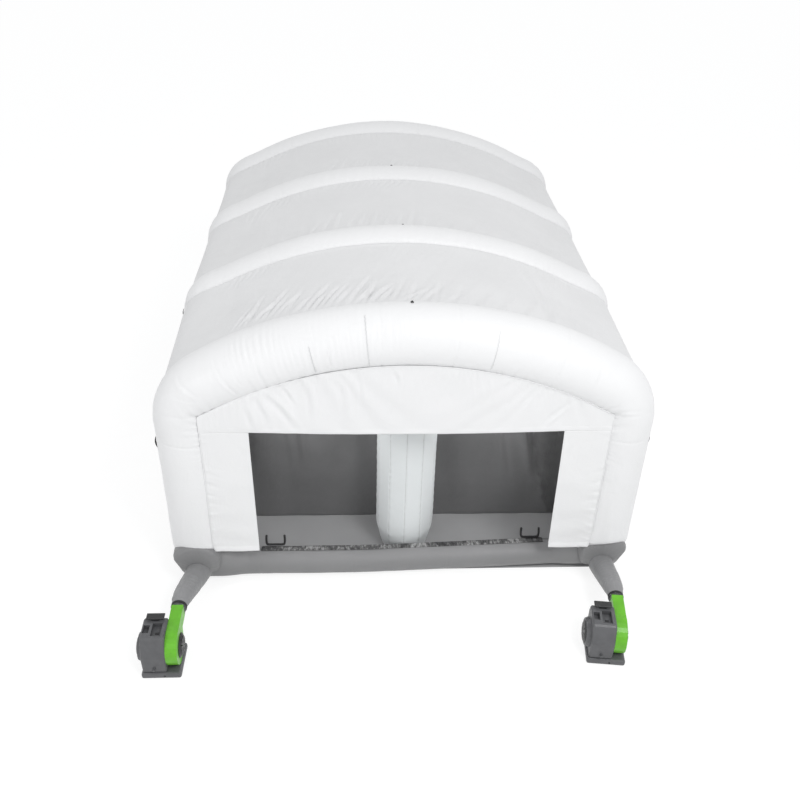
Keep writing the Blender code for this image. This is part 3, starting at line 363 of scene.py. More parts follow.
def cloth_finish(
    name, colour, rough=0.5, thread=0.0012, crinkle=0.004, gather=0.004, tone=0.05, sheen=0.1, painted_shade=0.0
):
    """Coated woven cloth: threads, crinkles, gathers beside the seams, slow changes of tone, and painted
    shade where the seam attribute's mask is high and a shade amount is given.
    """
    f = Finish(name, colour, rough)
    f.shader["Sheen Weight"].default_value = sheen
    f.shader["Sheen Roughness"].default_value = 0.6
    slow = f.noise(f.place(scale=(0.9, 0.9, 0.9)), 1.6, 4.0)
    near = add_node(f.tree, "Attribute", attribute_name="near_seam_and_painted_shade").outputs["Fac"]
    # Painted shade: a shade amount above zero lets the seam attribute's mask pull the colour down to the
    # darkest stop below.
    shaded = f.maths("SUBTRACT", slow, f.maths("MULTIPLY", near, painted_shade))
    f.colour(shaded, (0.05, tint(colour, 0.45)), (0.30, tint(colour, 1 - tone)), (0.70, colour))
    f.roughness(f.noise(f.place(), 9.0, 3.0), rough - 0.06, rough + 0.08)
    f.bump(f.noise(f.place(), 7.5, 5.0, 0.55, 0.4), crinkle)
    ripples = f.noise(f.place(scale=(1.0, 0.14, 1.0)), 42.0, 2.0, 0.5, 0.3)
    f.bump(f.maths("MULTIPLY", ripples, near), gather)
    over, under = (f.waves(f.place(), 0.5 / thread / pi, way) for way in "XY")
    f.bump(f.maths("MULTIPLY", over, under), thread * 0.10, 0.5)
    return f.material


finishes = {
    "white": cloth_finish("white_cloth", (0.80, 0.80, 0.805), 0.46, tone=0.02),
    "panel": cloth_finish("panel_cloth", (0.755, 0.755, 0.76), 0.50, crinkle=0.006, tone=0.04),
    "grey": cloth_finish("grey_cloth", (0.21, 0.21, 0.213), 0.52, crinkle=0.004, tone=0.08),
    "duct": cloth_finish("duct_cloth", (0.25, 0.25, 0.255), 0.55, crinkle=0.006, gather=0.006, tone=0.10),
    "column": cloth_finish("column_cloth", (0.71, 0.735, 0.74), 0.5, tone=0.03),
    # The weld cords' grey is partly the welds' own line and partly painted shade of their grooves.
    "weld": cloth_finish("weld_line_and_painted_shade", (0.60, 0.61, 0.61), 0.6, tone=0.15),
    "floor": cloth_finish("floor_cloth", (0.325, 0.325, 0.33), 0.62, crinkle=0.003, tone=0.08),
}
# The filter wall's shade amount paints shade into its colour where its mask is high.
rough_weave = {"thread": 0.004, "crinkle": 0.006, "tone": 0.16, "sheen": 0.2, "painted_shade": 0.35}
finishes["filter"] = cloth_finish("filter_cloth", (0.150, 0.150, 0.152), 0.75, **rough_weave)
print("cloth finishes", sorted(finishes))

# %% [markdown]
# Webbing and the strip of tape are flat bands. Webbing shows diagonal cords a few millimetres wide. The strip
# on the threshold is the kind that hooks into the window's cloth: a dark pile with pale lint caught in it.

# %% Webbing and tape finishes


def webbing_finish(name, colour):
    f = Finish(name, colour, 0.7)
    cords = f.waves(f.place(turn=0.7), 90.0)
    f.colour(cords, (0.2, tint(colour, 0.5)), (0.8, tint(colour, 1.5)))
    f.bump(cords, 0.0012)
    f.bump(f.noise(f.place(), 400.0, 2.0), 0.0005)
    return f.material


def tape_finish(name):
    f = Finish(name, (0.10, 0.10, 0.10), 0.85)
    specks = f.noise(f.place(scale=(0.5, 1.4, 1)), 20.0, 4.0, 0.75)
    drift = f.maths("MULTIPLY", f.noise(f.place(), 3.0, 2.0), 0.6)
    pile, worn, lint = (0.03, 0.03, 0.032), (0.10, 0.10, 0.10), (0.36, 0.36, 0.36)
    f.colour(f.maths("ADD", specks, drift), (0.66, pile), (0.80, worn), (0.95, lint))
    f.bump(f.noise(f.place(), 260.0, 3.0, 0.7), 0.002)
    return f.material


finishes["webbing"] = webbing_finish("black_webbing", (0.016, 0.016, 0.017))
finishes["tape"] = tape_finish("strip_tape")
print("bands", finishes["webbing"].name, finishes["tape"].name)

# %% [markdown]
# ## Plastic and metal finishes
# The blowers are moulded plastic: a fine spark-eroded grain in the mould leaves a satin skin, which rubs
# smoother and paler where hands and shoes touch it. The motor is cast alloy, the shaft turned steel.

# %% Plastic and metal finishes


def plastic_finish(name, colour, rough, grain=0.00035, dust=0.10):
    f = Finish(name, colour, rough)
    f.shader["Coat Weight"].default_value = 0.08
    slow = f.noise(f.place("Object"), 9.0, 5.0)
    f.colour(slow, (0.35, tint(colour, 1 - dust)), (0.65, tint(colour, 1 + dust)))
    f.roughness(f.noise(f.place("Object"), 16.0, 4.0), rough - 0.07, rough + 0.10)
    f.bump(f.noise(f.place("Object"), 900.0, 2.0, 0.6), grain)
    f.bump(f.noise(f.place("Object"), 24.0, 2.0), 0.0008, 0.6)
    return f.material


def metal_finish(name, colour, rough, brushed):
    f = Finish(name, colour, rough, 1.0)
    grain = f.noise(f.place("Object", scale=brushed), 60.0, 4.0)
    f.colour(grain, (0.3, tint(colour, 0.82)), (0.7, colour))
    f.roughness(grain, rough - 0.08, rough + 0.10)
    f.bump(grain, 0.0004)
    return f.material


finishes["housing"] = plastic_finish("grey_plastic", (0.092, 0.093, 0.098), 0.48)
finishes["scroll"] = plastic_finish("green_plastic", (0.115, 0.42, 0.010), 0.38)
finishes["black"] = plastic_finish("black_plastic", (0.016, 0.016, 0.017), 0.45)
finishes["alloy"] = metal_finish("motor_alloy", (0.55, 0.56, 0.58), 0.45, (1, 1, 1))
finishes["steel"] = metal_finish("steel", (0.62, 0.62, 0.64), 0.28, (0.2, 6, 6))
finishes["zip"] = metal_finish("zip_metal", (0.50, 0.50, 0.52), 0.35, (1, 1, 4))
print(len(finishes), "finishes in all")

# %% [markdown]
# ## Noise for folds
# Cloth never repeats itself, so the folds need a smooth random surface that comes out the same on every run.
# A small table of random heights, read with an eased blend between its entries, is enough. Pleats are waves
# whose spacing wanders with that noise: a regular wave would look like corrugated iron.

# %% Smooth noise, pleats, seams and single folds
NOISE_SIZE = 64


def wander(a, b, size_a, size_b, seed):
    """Smooth noise from -1 to 1 over two lengths, with features about size_a by size_b."""
    table = np.random.default_rng(seed).uniform(-1, 1, (NOISE_SIZE, NOISE_SIZE))
    fa, fb = np.asarray(a) / size_a + 1000.0, np.asarray(b) / size_b + 1000.0
    ia, ib = np.floor(fa).astype(int), np.floor(fb).astype(int)
    ta, tb = ease(fa - ia), ease(fb - ib)

    def at(da, db):
        return table[(ia + da) % NOISE_SIZE, (ib + db) % NOISE_SIZE]

    low = at(0, 0) * (1 - ta) + at(1, 0) * ta
    high = at(0, 1) * (1 - ta) + at(1, 1) * ta
    return low * (1 - tb) + high * tb


def wave(turns):
    return np.sin(2 * pi * turns)


def pleats(s, d, pitch, reach, depth, seed, lean=0.0):
    """Gathers that run away from a seam: d is the distance from the seam, and s the place along it."""
    run = s + lean * d
    phase = run / pitch + 0.9 * wander(run, d, pitch * 4, reach * 2, seed)
    ripple = wave(phase) + 0.45 * np.sin(2 * pi * phase * 1.93 + 1.3)
    patch = np.clip(0.55 + 0.75 * wander(s, d, pitch * 6, reach * 2, seed + 1), 0, 1.2)
    return depth * patch * ripple * np.exp(-np.abs(d) / reach)


def pinch(d, depth, width):
    """A seam pulls the cloth in along a line."""
    return -depth * bell(d / width)


def crease(s, t, line, depth, width):
    """One fold along a smooth line of three points: a valley with a soft ridge on its left."""
    start, middle, end = (np.array(p, float) for p in line)
    best = np.full(np.shape(s), 1e9)
    height = np.zeros(np.shape(s))
    for k in np.linspace(0, 1, 25):
        here = (1 - k) ** 2 * start + 2 * k * (1 - k) * middle + k * k * end
        way = 2 * (1 - k) * (middle - start) + 2 * k * (end - middle)
        way = way / np.hypot(*way)
        da, db = s - here[0], t - here[1]
        away = np.hypot(da, db)
        side = da * -way[1] + db * way[0]
        swell = np.sin(pi * part(0.04 + k * 0.92)) ** 0.7
        shape = 0.75 * bell((side - 1.9 * width) / width) - bell(side / width)
        reach = bell(np.maximum(away - 2.2 * width, 0) / width)
        height = np.where(away < best, shape * swell * reach, height)
        best = np.minimum(best, away)
    return depth * height


def creases(s, t, folds):
    return sum(crease(s, t, line, depth, width) for line, depth, width in folds)


print("noise at three places", np.round(wander(np.array([0.1, 0.2, 0.3]), 0.5, 0.2, 0.2, 1), 3))

# %% [markdown]
# ## A piece of cloth
# Every cloth piece starts as one flat grid, as a bolt of cloth does. A function of the grid's two directions
# then gives three things: the points on the piece's surface, moved along its normal by the folds, the UV map
# in metres, and how near each point is to a seam, from 0 to 1. On the filter wall that third value is a
# painted shade mask instead, and the filter's finish darkens its colour there.

# %% Helpers that make cloth


def weave_cloth(name, finish, across, along, shape, closed=False, caps=False):
    """A grid of across by along faces. shape(u, v) gives its points, UV map and nearness to seams, which on
    the filter wall is a painted shade mask.
    """
    bm = bmesh.new()
    bm.loops.layers.uv.new("cloth")
    bmesh.ops.create_grid(bm, x_segments=across, y_segments=along, size=0.5, calc_uvs=True)
    piece = link_piece(name, bm, finish)
    mesh = piece.data
    flat = np.empty(len(mesh.vertices) * 3, np.float32)
    mesh.vertices.foreach_get("co", flat)
    u, v = flat[0::3].astype(float) + 0.5, flat[1::3].astype(float) + 0.5
    corner = np.empty(len(mesh.loops), np.int32)
    mesh.loops.foreach_get("vertex_index", corner)
    spots, metres, near = shape(u, v)
    mesh.uv_layers["cloth"].data.foreach_set("uv", np.stack(metres, -1)[corner].astype(np.float32).ravel())
    # On the filter wall this attribute holds a painted shade mask.
    seam = mesh.attributes.new("near_seam_and_painted_shade", "FLOAT", "POINT")
    seam.data.foreach_set("value", (near + np.zeros(len(u))).astype(np.float32))
    if closed:
        start, end = np.flatnonzero(u < 1e-4), np.flatnonzero(u > 1 - 1e-4)
        spots[end[np.argsort(v[end])]] = spots[start[np.argsort(v[start])]]
    mesh.vertices.foreach_set("co", np.ascontiguousarray(spots, np.float32).ravel())
    mesh.update()
    if closed:
        bm = bmesh.new()
        bm.from_mesh(mesh)
        bmesh.ops.remove_doubles(bm, verts=bm.verts, dist=1e-5)
        if caps:
            bmesh.ops.holes_fill(bm, edges=[e for e in bm.edges if e.is_boundary])
            bmesh.ops.recalc_face_normals(bm, faces=bm.faces)
        bm.to_mesh(mesh)
        bm.free()
        mesh.shade_smooth()
    return piece


def thicken(piece, thickness):
    solid = piece.modifiers.new("cloth_thickness", "SOLIDIFY")
    solid.thickness = thickness
    solid.offset = 0.0
    solid.use_even_offset = False


def dress(piece, slot, *nodes, body="booth", thickness=0.0):
    """The piece rides on a body and stands for these frame nodes; slot is not used."""
    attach(piece, body)
    if nodes:
        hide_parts(*nodes)
    if thickness:
        thicken(piece, thickness)
    return piece


def sew(node, finish, slot, grid, shape, body="booth", thickness=CLOTH):
    """A sheet that stands for one frame node."""
    sheet = weave_cloth(node + "_cloth", finishes[finish], *grid, shape)
    return dress(sheet, slot, node, body=body, thickness=thickness)


def inflate(node, finish, slot, grid, shape):
    """A closed tube full of air that stands for one frame node."""
    tube = weave_cloth(node + "_cloth", finishes[finish], *grid, shape, closed=True, caps=True)
    dress(tube, slot, node)
    return tube


# %% [markdown]
# ## Inflated arches
# An arch is a tube of cloth, cut in gores and welded, which the air keeps round. Where it bends at the eave,
# the inner side has too much cloth and creases. Where a seam runs along it, the stitching draws the cloth up
# into short pleats. The front arch is fatter than the others and shows all of this in the photograph: fine
# pleats left of the middle, a few long creases round the left eave, and welds straight across.

# %% Arches
ARCH_NODES = ("front_arch", "second_arch", "third_arch", "rear_arch")
ROUND, ALONG = (92, 68, 68, 68), (620, 440, 440, 440)
WELDS_AT = (-2.46, -1.30, -0.25, 0.38, 1.30, 2.43)
FRONT_CREASES = [
    ([(-1.93, 0.14), (-1.95, 0.26), (-1.88, 0.40)], 0.006, 0.010),
    ([(-1.62, 0.18), (-1.63, 0.35), (-1.58, 0.50)], 0.007, 0.010),
    ([(-1.59, 0.33), (-1.60, 0.44), (-1.55, 0.56)], 0.006, 0.009),
    ([(-1.50, 0.36), (-1.49, 0.44), (-1.46, 0.52)], 0.004, 0.009),
    ([(-2.02, 0.30), (-1.97, 0.38), (-1.92, 0.45)], 0.004, 0.009),
    ([(2.06, 0.50), (2.10, 0.38), (2.18, 0.26)], 0.004, 0.012),
    ([(-1.45, 0.02), (-1.43, 0.12), (-1.42, 0.24)], 0.004, 0.009),
    ([(-0.80, 0.12), (-0.79, 0.20), (-0.77, 0.30)], 0.004, 0.008),
    ([(-0.69, 0.30), (-0.68, 0.45), (-0.71, 0.59)], 0.006, 0.009),
    ([(1.62, 0.24), (1.66, 0.34), (1.64, 0.46)], 0.004, 0.010),
]


def arch_folds(i, s, degrees):
    """How far the cloth stands in or out of the round tube."""
    r = TUBE_R[i]
    t = np.radians(degrees) * r
    _, crown, bend, _, eave_z = arch_lengths(r)
    h = 0.006 * wander(s, t, 0.75, 0.5, 11 + i) + 0.0018 * wander(s, t, 0.22, 0.22, 21 + i)
    here = part(0.25 + 1.1 * wander(s, t, 0.30, 0.35, 131 + i)) if i == 0 else 1.0
    seams = FRONT_SEAM if i == 0 else roof_seam(i, s), -END_SEAM if i == BAYS else -roof_seam(i, s)
    for k, seam in enumerate(seams):
        d = t - np.radians(seam) * r
        h = h + pinch(d, 0.006, 0.020)
        h = h + here * pleats(s, d, 0.050, 0.09, 0.0020, 31 + 7 * i + k)
        h = h + here * pleats(s, d, 0.115, 0.22, 0.0024, 61 + 7 * i + k, 0.25)
    inner = part(np.abs(degrees) / 180 - 0.45)
    around = part((np.abs(s) - crown + 0.12) / 0.12) * part((bend + 0.12 - np.abs(s)) / 0.12)
    h = h + around * inner * 0.012 * wave(np.abs(s) / 0.11 + 0.5 * wander(s, t, 0.2, 0.2, 91 + i))
    for at in WELDS_AT:
        weld = s - at - 0.01 * wander(t, t, 0.3, 0.3, 101 + i)
        h = h + pinch(weld, 0.0045, 0.008) + 0.25 * pleats(t, weld, 0.06, 0.08, 0.004, 111 + i)
    for side in (-1, 1):
        mitre = side * s - (2.262 - 0.0014 * np.clip(degrees, -60, 125))
        h = h + pinch(mitre, 0.0035, 0.011)
        h = h + 0.30 * pleats(t, mitre, 0.07, 0.07, 0.004, 116 + i) * (side * s > 1.8)
    foot = eave_z + bend - np.abs(s) - np.interp(degrees, AROUND, SADDLES[i])
    h = h + pleats(t, foot, 0.07, 0.12, 0.0026, 121 + i)
    h = h * part(foot / 0.045) + pinch(foot, 0.003, 0.02)
    return h * part((180 - np.abs(degrees)) / 14)


def make_arch(i, node):
    r = TUBE_R[i]
    _, _, bend, length, eave_z = arch_lengths(r)

    def shape(u, v):
        """The leg's part of the grid is stretched so that its edge lies on the base tube."""
        degrees = 180.0 - 360.0 * u
        d = np.abs(v - 0.5) * 2 * length
        share = (eave_z - np.interp(degrees, AROUND, SADDLES[i])) / (length - bend)
        d = np.where(d > bend, bend + (d - bend) * share, d)
        s, t = np.sign(v - 0.5) * d, np.radians(degrees) * r
        h = arch_folds(i, s, degrees)
        if i == 0:
            fine = wave(s / 0.052 + 0.6 * wander(s, t, 0.16, 0.5, 141) + 0.10 * t / 0.2)
            mask = part((s + 1.55) / 0.2) * part((0.05 - s) / 0.3) * part(1.2 - np.abs(t - 0.22) / 0.32)
            h = h + creases(s, t, FRONT_CREASES)
            h = h + 0.0030 * fine * mask * (0.6 + 0.6 * wander(s, t, 0.30, 0.20, 142))
        seams = roof_seam(i, s), END_SEAM if i else FRONT_SEAM
        away = np.minimum(*(np.abs(np.abs(degrees) - seam) for seam in seams)) * pi / 180 * r
        return tube_point(i, s, degrees, h), (s, t), np.exp(-away / 0.07)

    return inflate(node, "white", "white_cloth", (ROUND[i], ALONG[i]), shape)


arches = [make_arch(i, node) for i, node in enumerate(ARCH_NODES)]
print("arch faces", [len(a.data.polygons) for a in arches])

# %% [markdown]
# ## Roof panels and side walls
# A single layer of cloth is welded to the arches along both sides of each bay. It isn't inflated, so it hangs
# in a shallow trough and shows slanting pleats where the seam gathers it, longest behind the front arch. The
# walls carry the same surface down onto the base tube, and end where it starts to turn in.

# %% Roof panels and walls
LEANS = [(-1.56 + 0.075 * k + 0.02 * sin(5.1 * k), 0.045 + 0.015 * sin(2.3 * k)) for k in range(27)]
ROOF_PLEATS = (
    [(start, lean, 0.40 + 0.13 * sin(3.7 * k)) for k, (start, lean) in enumerate(LEANS)],
    [(-0.90 + 0.13 * k, 0.02, 0.30 + 0.1 * (k % 3)) for k in range(10)],
    [(-0.75 + 0.15 * k, 0.02, 0.30 + 0.1 * (k % 2)) for k in range(8)],
)
PANEL_HALF = arch_lengths(TUBE_R[1])[2]
WALL_TURN = radians(22)
WALL_FOOT_X = RUN_X + RUN_R * cos(WALL_TURN)
WALL_LOW = RUN_R + RUN_R * sin(WALL_TURN) + 0.001


def bay_edges(b, s):
    """The two seams that a panel hangs between, and the outward direction, at a place along the arch."""
    near = tube_point(b, s, -roof_seam(b, s)) + np.array([0, SIDE_GAP, 0])
    far = tube_point(b + 1, s, roof_seam(b + 1, s)) - np.array([0, SIDE_GAP, 0])
    _, _, nx, nz = arch_line(TUBE_R[b + 1], s)
    return near, far, np.stack([nx, 0 * nx, nz], -1)


def hung(b, s, v, sag):
    """The plain surface between the two seams, and the outward direction."""
    near, far, out = bay_edges(b, s)
    return near * (1 - v)[:, None] + far * v[:, None] - out * (sag * 4 * v * (1 - v))[:, None], out


def near_eave(s):
    return part((np.abs(s) - PANEL_HALF + 0.7) / 0.5)


def roof_sag(s):
    return ROOF_SAG + (WALL_SAG - ROOF_SAG) * near_eave(s)


def panel_folds(b, s, v):
    d = v * PANEL_SPAN
    h = 0.010 * wander(s, d, 0.6, 0.5, 200 + b) + 0.004 * wander(s, d, 0.22, 0.3, 210 + b)
    h = h + pleats(s, d, 0.075, 0.16, 0.0050, 220 + b, -0.25)
    h = h + pleats(s, PANEL_SPAN - d, 0.085, 0.18, 0.0055, 230 + b, 0.3)
    h = h + pleats(s, d, 0.19, 0.5, 0.0060, 240 + b, -0.3)
    h = h * part(np.minimum(v, 1 - v) / 0.03)
    for start, lean, reach in ROOF_PLEATS[b]:
        foot = 0.11 + 0.14 * part(-start / 1.3) + 0.03 * sin(9 * start)
        line = [(start, foot), (start + lean, foot + reach * 0.5), (start + lean * 3.0, foot + reach)]
        deep = (0.018 + 0.006 * sin(13 * start)) * (0.45 if start > 0 else 1)
        h = h + (crease(s, d, line, 0.008, 0.023) if b else crease(s, d, line, deep, 0.018))
    if b == 0:
        h = h + 0.030 * np.exp(-(((s - 0.85) / 0.40) ** 2) - ((d - 0.75) / 0.45) ** 2)
        h = h + crease(s, d, [(1.22, 0.15), (1.50, 0.70), (1.30, 1.25)], 0.018, 0.060)
    return h


def make_panel(b):
    def shape(u, v):
        s, d = (u - 0.5) * 2 * PANEL_HALF, v * PANEL_SPAN
        flat, out = hung(b, s, v, roof_sag(s))
        h = panel_folds(b, s, v) * (1 - 0.6 * near_eave(s))
        return flat + out * h[:, None], (s, d), np.exp(-np.minimum(v, 1 - v) * PANEL_SPAN / 0.10)

    name = f"roof_panel_{b + 1}"
    panel = sew(name, "panel", "panel_cloth", (300, 96), shape)


def make_wall(b, side, sign):
    eave_z = arch_lengths(TUBE_R[1])[4]

    def shape(u, v):
        z = WALL_LOW + (eave_z - WALL_LOW) * u
        s = sign * (PANEL_HALF + eave_z - z)
        flat, out = hung(b, s, v, WALL_SAG)
        over = np.maximum(np.abs(flat[:, 0]) - WALL_FOOT_X, 0) * part(1 - (z - WALL_LOW) / 0.35)
        flat[:, 0] = flat[:, 0] - sign * over
        d = v * PANEL_SPAN
        h = panel_folds(b, s, v) * (0.4 + 0.4 * (1 - u))
        h = h + 0.010 * wave(d / 0.33 + 0.4 * wander(z, d, 0.5, 0.4, 260 + b)) * (1 - u) * 0.6
        point = flat + out * (h * part(u / 0.05))[:, None]
        point[:, 2] = z
        near = np.exp(-np.minimum(np.minimum(v, 1 - v) * PANEL_SPAN, u * 1.5) / 0.10)
        return point, ((eave_z - 0.45) * u, d), near

    name = f"{side}_wall_{b + 1}"
    wall = sew(name, "panel", "panel_cloth", (90, 84), shape)


for b in range(BAYS):
    make_panel(b)
for b in range(BAYS):
    for side, sign in SIDES:
        make_wall(b, side, sign)
print("panels", BAYS, "walls", BAYS * len(SIDES))

# %% [markdown]
# ## Seam piping
# The panels are sewn into a welded flange, which shows as a thin raised cord between two dark grooves. A cord
# of cloth is a small circle rolled along the seam. One helper makes them all, from a list of points.

# %% Helpers that follow a line, and the seams
CROSSWISE = (0.12, 0.96, 0.25)


def row(v, count):
    """Which of count rows of points a grid's v falls on."""
    return np.clip(np.round(v * (count - 1)).astype(int), 0, count - 1)


def units(vectors):
    return vectors / np.linalg.norm(vectors, axis=1)[:, None]


def run_along(points):
    """How far along the line each of its points lies."""
    return np.concatenate([[0], np.cumsum(np.linalg.norm(np.diff(points, axis=0), axis=1))])


def smooth_line(points, steps):
    """A line eased through its points, for webbing and ducts that bend without corners."""
    points = np.asarray(points, float)
    t = np.linspace(0, len(points) - 1, steps)
    k = np.clip(t.astype(int), 0, len(points) - 2)
    f = (t - k)[:, None]
    padded = np.vstack([2 * points[0] - points[1], points, 2 * points[-1] - points[-2]])
    a, b, c, d = (padded[k + n] for n in range(4))
    return 0.5 * (2 * b + (c - a) * f + (2 * a - 5 * b + 4 * c - d) * f**2 + (3 * b - a - 3 * c + d) * f**3)


def roll(name, finish, points, radius, around=8, sideways=CROSSWISE, girth=None, folds=None, caps=True):
    """A round tube along points, as a grid rolled round the line. Folds may lift its skin."""
    count, radius = len(points), radius + np.zeros(len(points))
    way = units(np.gradient(points, axis=0))
    side = units(np.cross(way, sideways))
    up = np.cross(side, way)
    run = run_along(points)

    def shape(u, v):
        k, a = row(v, count), 2 * pi * u
        reach = radius[k] + (folds(u, run[k], run[-1]) if folds else 0.0)
        point = points[k] + reach[:, None] * (np.cos(a)[:, None] * side[k] + np.sin(a)[:, None] * up[k])
        near = np.exp(-(run[-1] - run[k]) / 0.2) if folds else 0.0
        return point, (u * (girth or 2 * pi * radius[0]), run[k]), near

    return weave_cloth(name, finish, around, count - 1, shape, closed=True, caps=caps)


for i, node in enumerate(ARCH_NODES):
    _, _, bend, _, eave_z = arch_lengths(TUBE_R[i])
    seams = LEG_SEAM if i else FRONT_SEAM, -LEG_SEAM if i < BAYS else -END_SEAM
    for tag, seam in zip(("front", "rear"), seams):
        length = bend + eave_z - float(np.interp(seam, AROUND, SADDLES[i])) - 0.003
        line = np.linspace(-length, length, 260)
        seam = seam if abs(seam) > 90 else np.sign(seam) * roof_seam(i, line)
        cord = roll(f"{node}_{tag}_piping", finishes["white"], tube_point(i, line, seam, 0.0005), 0.0048)
        dress(cord, "white_cloth")
print("piping cords", 2 * len(ARCH_NODES))

# %% [markdown]
# ## Front header and flaps
# Over the window a flat panel hangs from the arch. The arch pulls it up unevenly, so creases fan out from the
# seam down to the window's hem, strongest on the left. The two flaps beside the window hang from the same hem
# and end just above the threshold, where their hems turn up bright.

# %% Header over the window
FRONT_PLANE = FRONT_Y - TUBE_R[0] * sin(radians(FRONT_SEAM))
REAR_PLANE = REAR_Y + TUBE_R[3] * sin(radians(END_SEAM))
HEM_GAP = 0.0003
HEADER_CREASES = [
    ([(-1.439, 2.121), (-1.405, 2.00), (-1.388, 1.865)], 0.008, 0.026),
    ([(-1.347, 2.214), (-1.290, 2.08), (-1.253, 1.929)], 0.009, 0.028),
    ([(-1.270, 2.224), (-1.105, 2.075), (-1.011, 1.862)], 0.011, 0.032),
    ([(-0.931, 2.356), (-0.850, 2.171), (-0.893, 1.970)], 0.010, 0.030),
    ([(-0.667, 2.376), (-0.545, 2.253), (-0.595, 1.968)], 0.009, 0.030),
    ([(-0.147, 2.475), (-0.120, 2.42), (-0.110, 2.354)], 0.008, 0.018),
    ([(-1.10, 2.31), (-1.04, 2.22), (-1.00, 2.12)], 0.008, 0.018),
    ([(-0.46, 2.42), (-0.42, 2.30), (-0.42, 2.16)], 0.006, 0.018),
    ([(1.43, 2.14), (1.30, 2.04), (1.22, 1.92)], 0.006, 0.020),
    ([(1.10, 2.26), (1.02, 2.16), (0.98, 2.06)], 0.004, 0.018),
]


def end_edge(i, s):
    """Where an end panel meets its arch."""
    point = tube_point(i, s, FRONT_SEAM if i == 0 else -END_SEAM)
    _, _, nx, nz = arch_line(TUBE_R[i], s)
    return point[:, 0] - END_GAP * nx, point[:, 2] - END_GAP * nz


def fan(x, z, hub, count, depth, seed, start=-1.2, stop=1.2):
    """Creases that spread from a hub, as cloth does below the point that holds it up."""
    angle = np.arctan2(x - hub[0], hub[1] - z)
    away = np.hypot(x - hub[0], z - hub[1])
    folds = np.sin(count * angle + 1.6 * wander(angle, away, 0.25, 0.5, seed))
    inside = part((angle - start) / 0.15) * part((stop - angle) / 0.15)
    return depth * folds * inside * part(away / 0.35)


def make_header(name, i, plane, low, reach):
    front = i == 0
    _, crown, bend, _, _ = arch_lengths(TUBE_R[i])
    half = crown + (bend - crown) * reach

    def shape(u, v):
        s = (u - 0.5) * 2 * half
        x, top = end_edge(i, s)
        foot = low - 0.028 * part(1 - (x / 1.40) ** 2) * front
        z = foot + (np.maximum(top, foot) - foot) * v
        fade = np.clip((z - foot) / 0.05, 0.25, 1) * part((1 - v) / 0.06)
        h = 0.008 * wander(x, z, 0.35, 0.25, 301 + i)
        h = h + pleats(s, top - z, 0.085, 0.16, 0.0035, 311 + i, 0.15)
        h = h - pinch(z - foot - 0.025, 0.0012, 0.022) + pinch(z - foot - 0.052, 0.0012, 0.005)
        if front:
            left = part((0.25 - x) / 0.3)
            h = h + fan(x, z, (-0.9, 2.9), 22, 0.004, 321, -0.75, 0.95) * (0.25 + 0.75 * left)
            h = h + fan(x, z, (1.3, 2.6), 26, 0.002, 322) + creases(x, z, HEADER_CREASES)
        y = plane + (-h if front else h) * fade
        return np.stack([x, y, z], -1), (x, z), np.exp(-(1 - v) * 0.6 / 0.10)

    panel = sew(name, "white", "panel_cloth", (340, 64), shape)


make_header("front_header", 0, FRONT_PLANE, WINDOW_TOP + HEM_GAP, 0.72)
make_header("rear_header", 3, REAR_PLANE, DOOR_TOP + HEM_GAP, 0.76)
print("header planes", round(FRONT_PLANE, 3), round(REAR_PLANE, 3))

# %% Flaps beside the window and beside the door


def seat_x(i, y):
    """The leg's inner side at this y, clear by the seam."""
    r = TUBE_R[i]
    depth = np.minimum(np.abs(y - arch_y(i)), r * sin(radians(END_SEAM if i else FRONT_SEAM)))
    return WIDTH / 2 - r - np.sqrt(r * r - depth * depth) - END_GAP


def make_flap(name, i, sign, inner_x, top, low):
    plane, way = (FRONT_PLANE, -1.0) if i == 0 else (REAR_PLANE, 1.0)
    drift = (0.018 if sign > 0 else -0.0108) if i == 0 else 0.0

    def shape(u, v):
        z = low + (top - HEM_GAP - low) * v
        free = inner_x + drift * (1 - v)
        outer = seat_x(i, plane) + 0 * z
        x = free + (outer - free) * u
        z = np.maximum(z, base_height(x, plane + 0 * x) + 0.003)
        d = (outer - free) * (1 - u)
        h = 0.004 * wander(x, z, 0.2, 0.4, 331 + i) + pleats(z, d, 0.09, 0.10, 0.003, 341 + i)
        h = h + 0.003 * wave(z / 0.23 + 0.5 * wander(z, x, 0.3, 0.3, 351 + i)) * part(1 - v)
        free_edge = part((1 - u) / 0.05)
        h = h * free_edge * part((1 - v) / 0.04)
        h = h + 0.012 * part(1 - (z - low) / 0.055) * free_edge + pinch(z - low - 0.058, 0.003, 0.005)
        point = np.stack([sign * x, plane + way * np.maximum(h, -0.001), z], -1)
        return point, (inner_x + 0.45 * u, (top - low) * v), np.exp(-(1 - u) * 0.45 / 0.08)

    flap = sew(name, "white", "panel_cloth", (40, 130), shape)


for side, sign in SIDES:
    make_flap(f"{side}_front_flap", 0, sign, WINDOW_HALF, WINDOW_TOP, 0.43)
    make_flap(f"{side}_rear_flap", 3, sign, DOOR_HALF + 0.0008, DOOR_TOP, 0.2249)
print("flaps hang from", WINDOW_TOP, "and", DOOR_TOP)

# %% [markdown]
# ## Grey bases and thresholds
# The four legs of one side stand on a lying tube of heavier grey cloth, each welded to it along a saddle. Air
# from one duct fills the whole side. A thinner tube lies across the front and the rear as a threshold.

# %% Base tubes


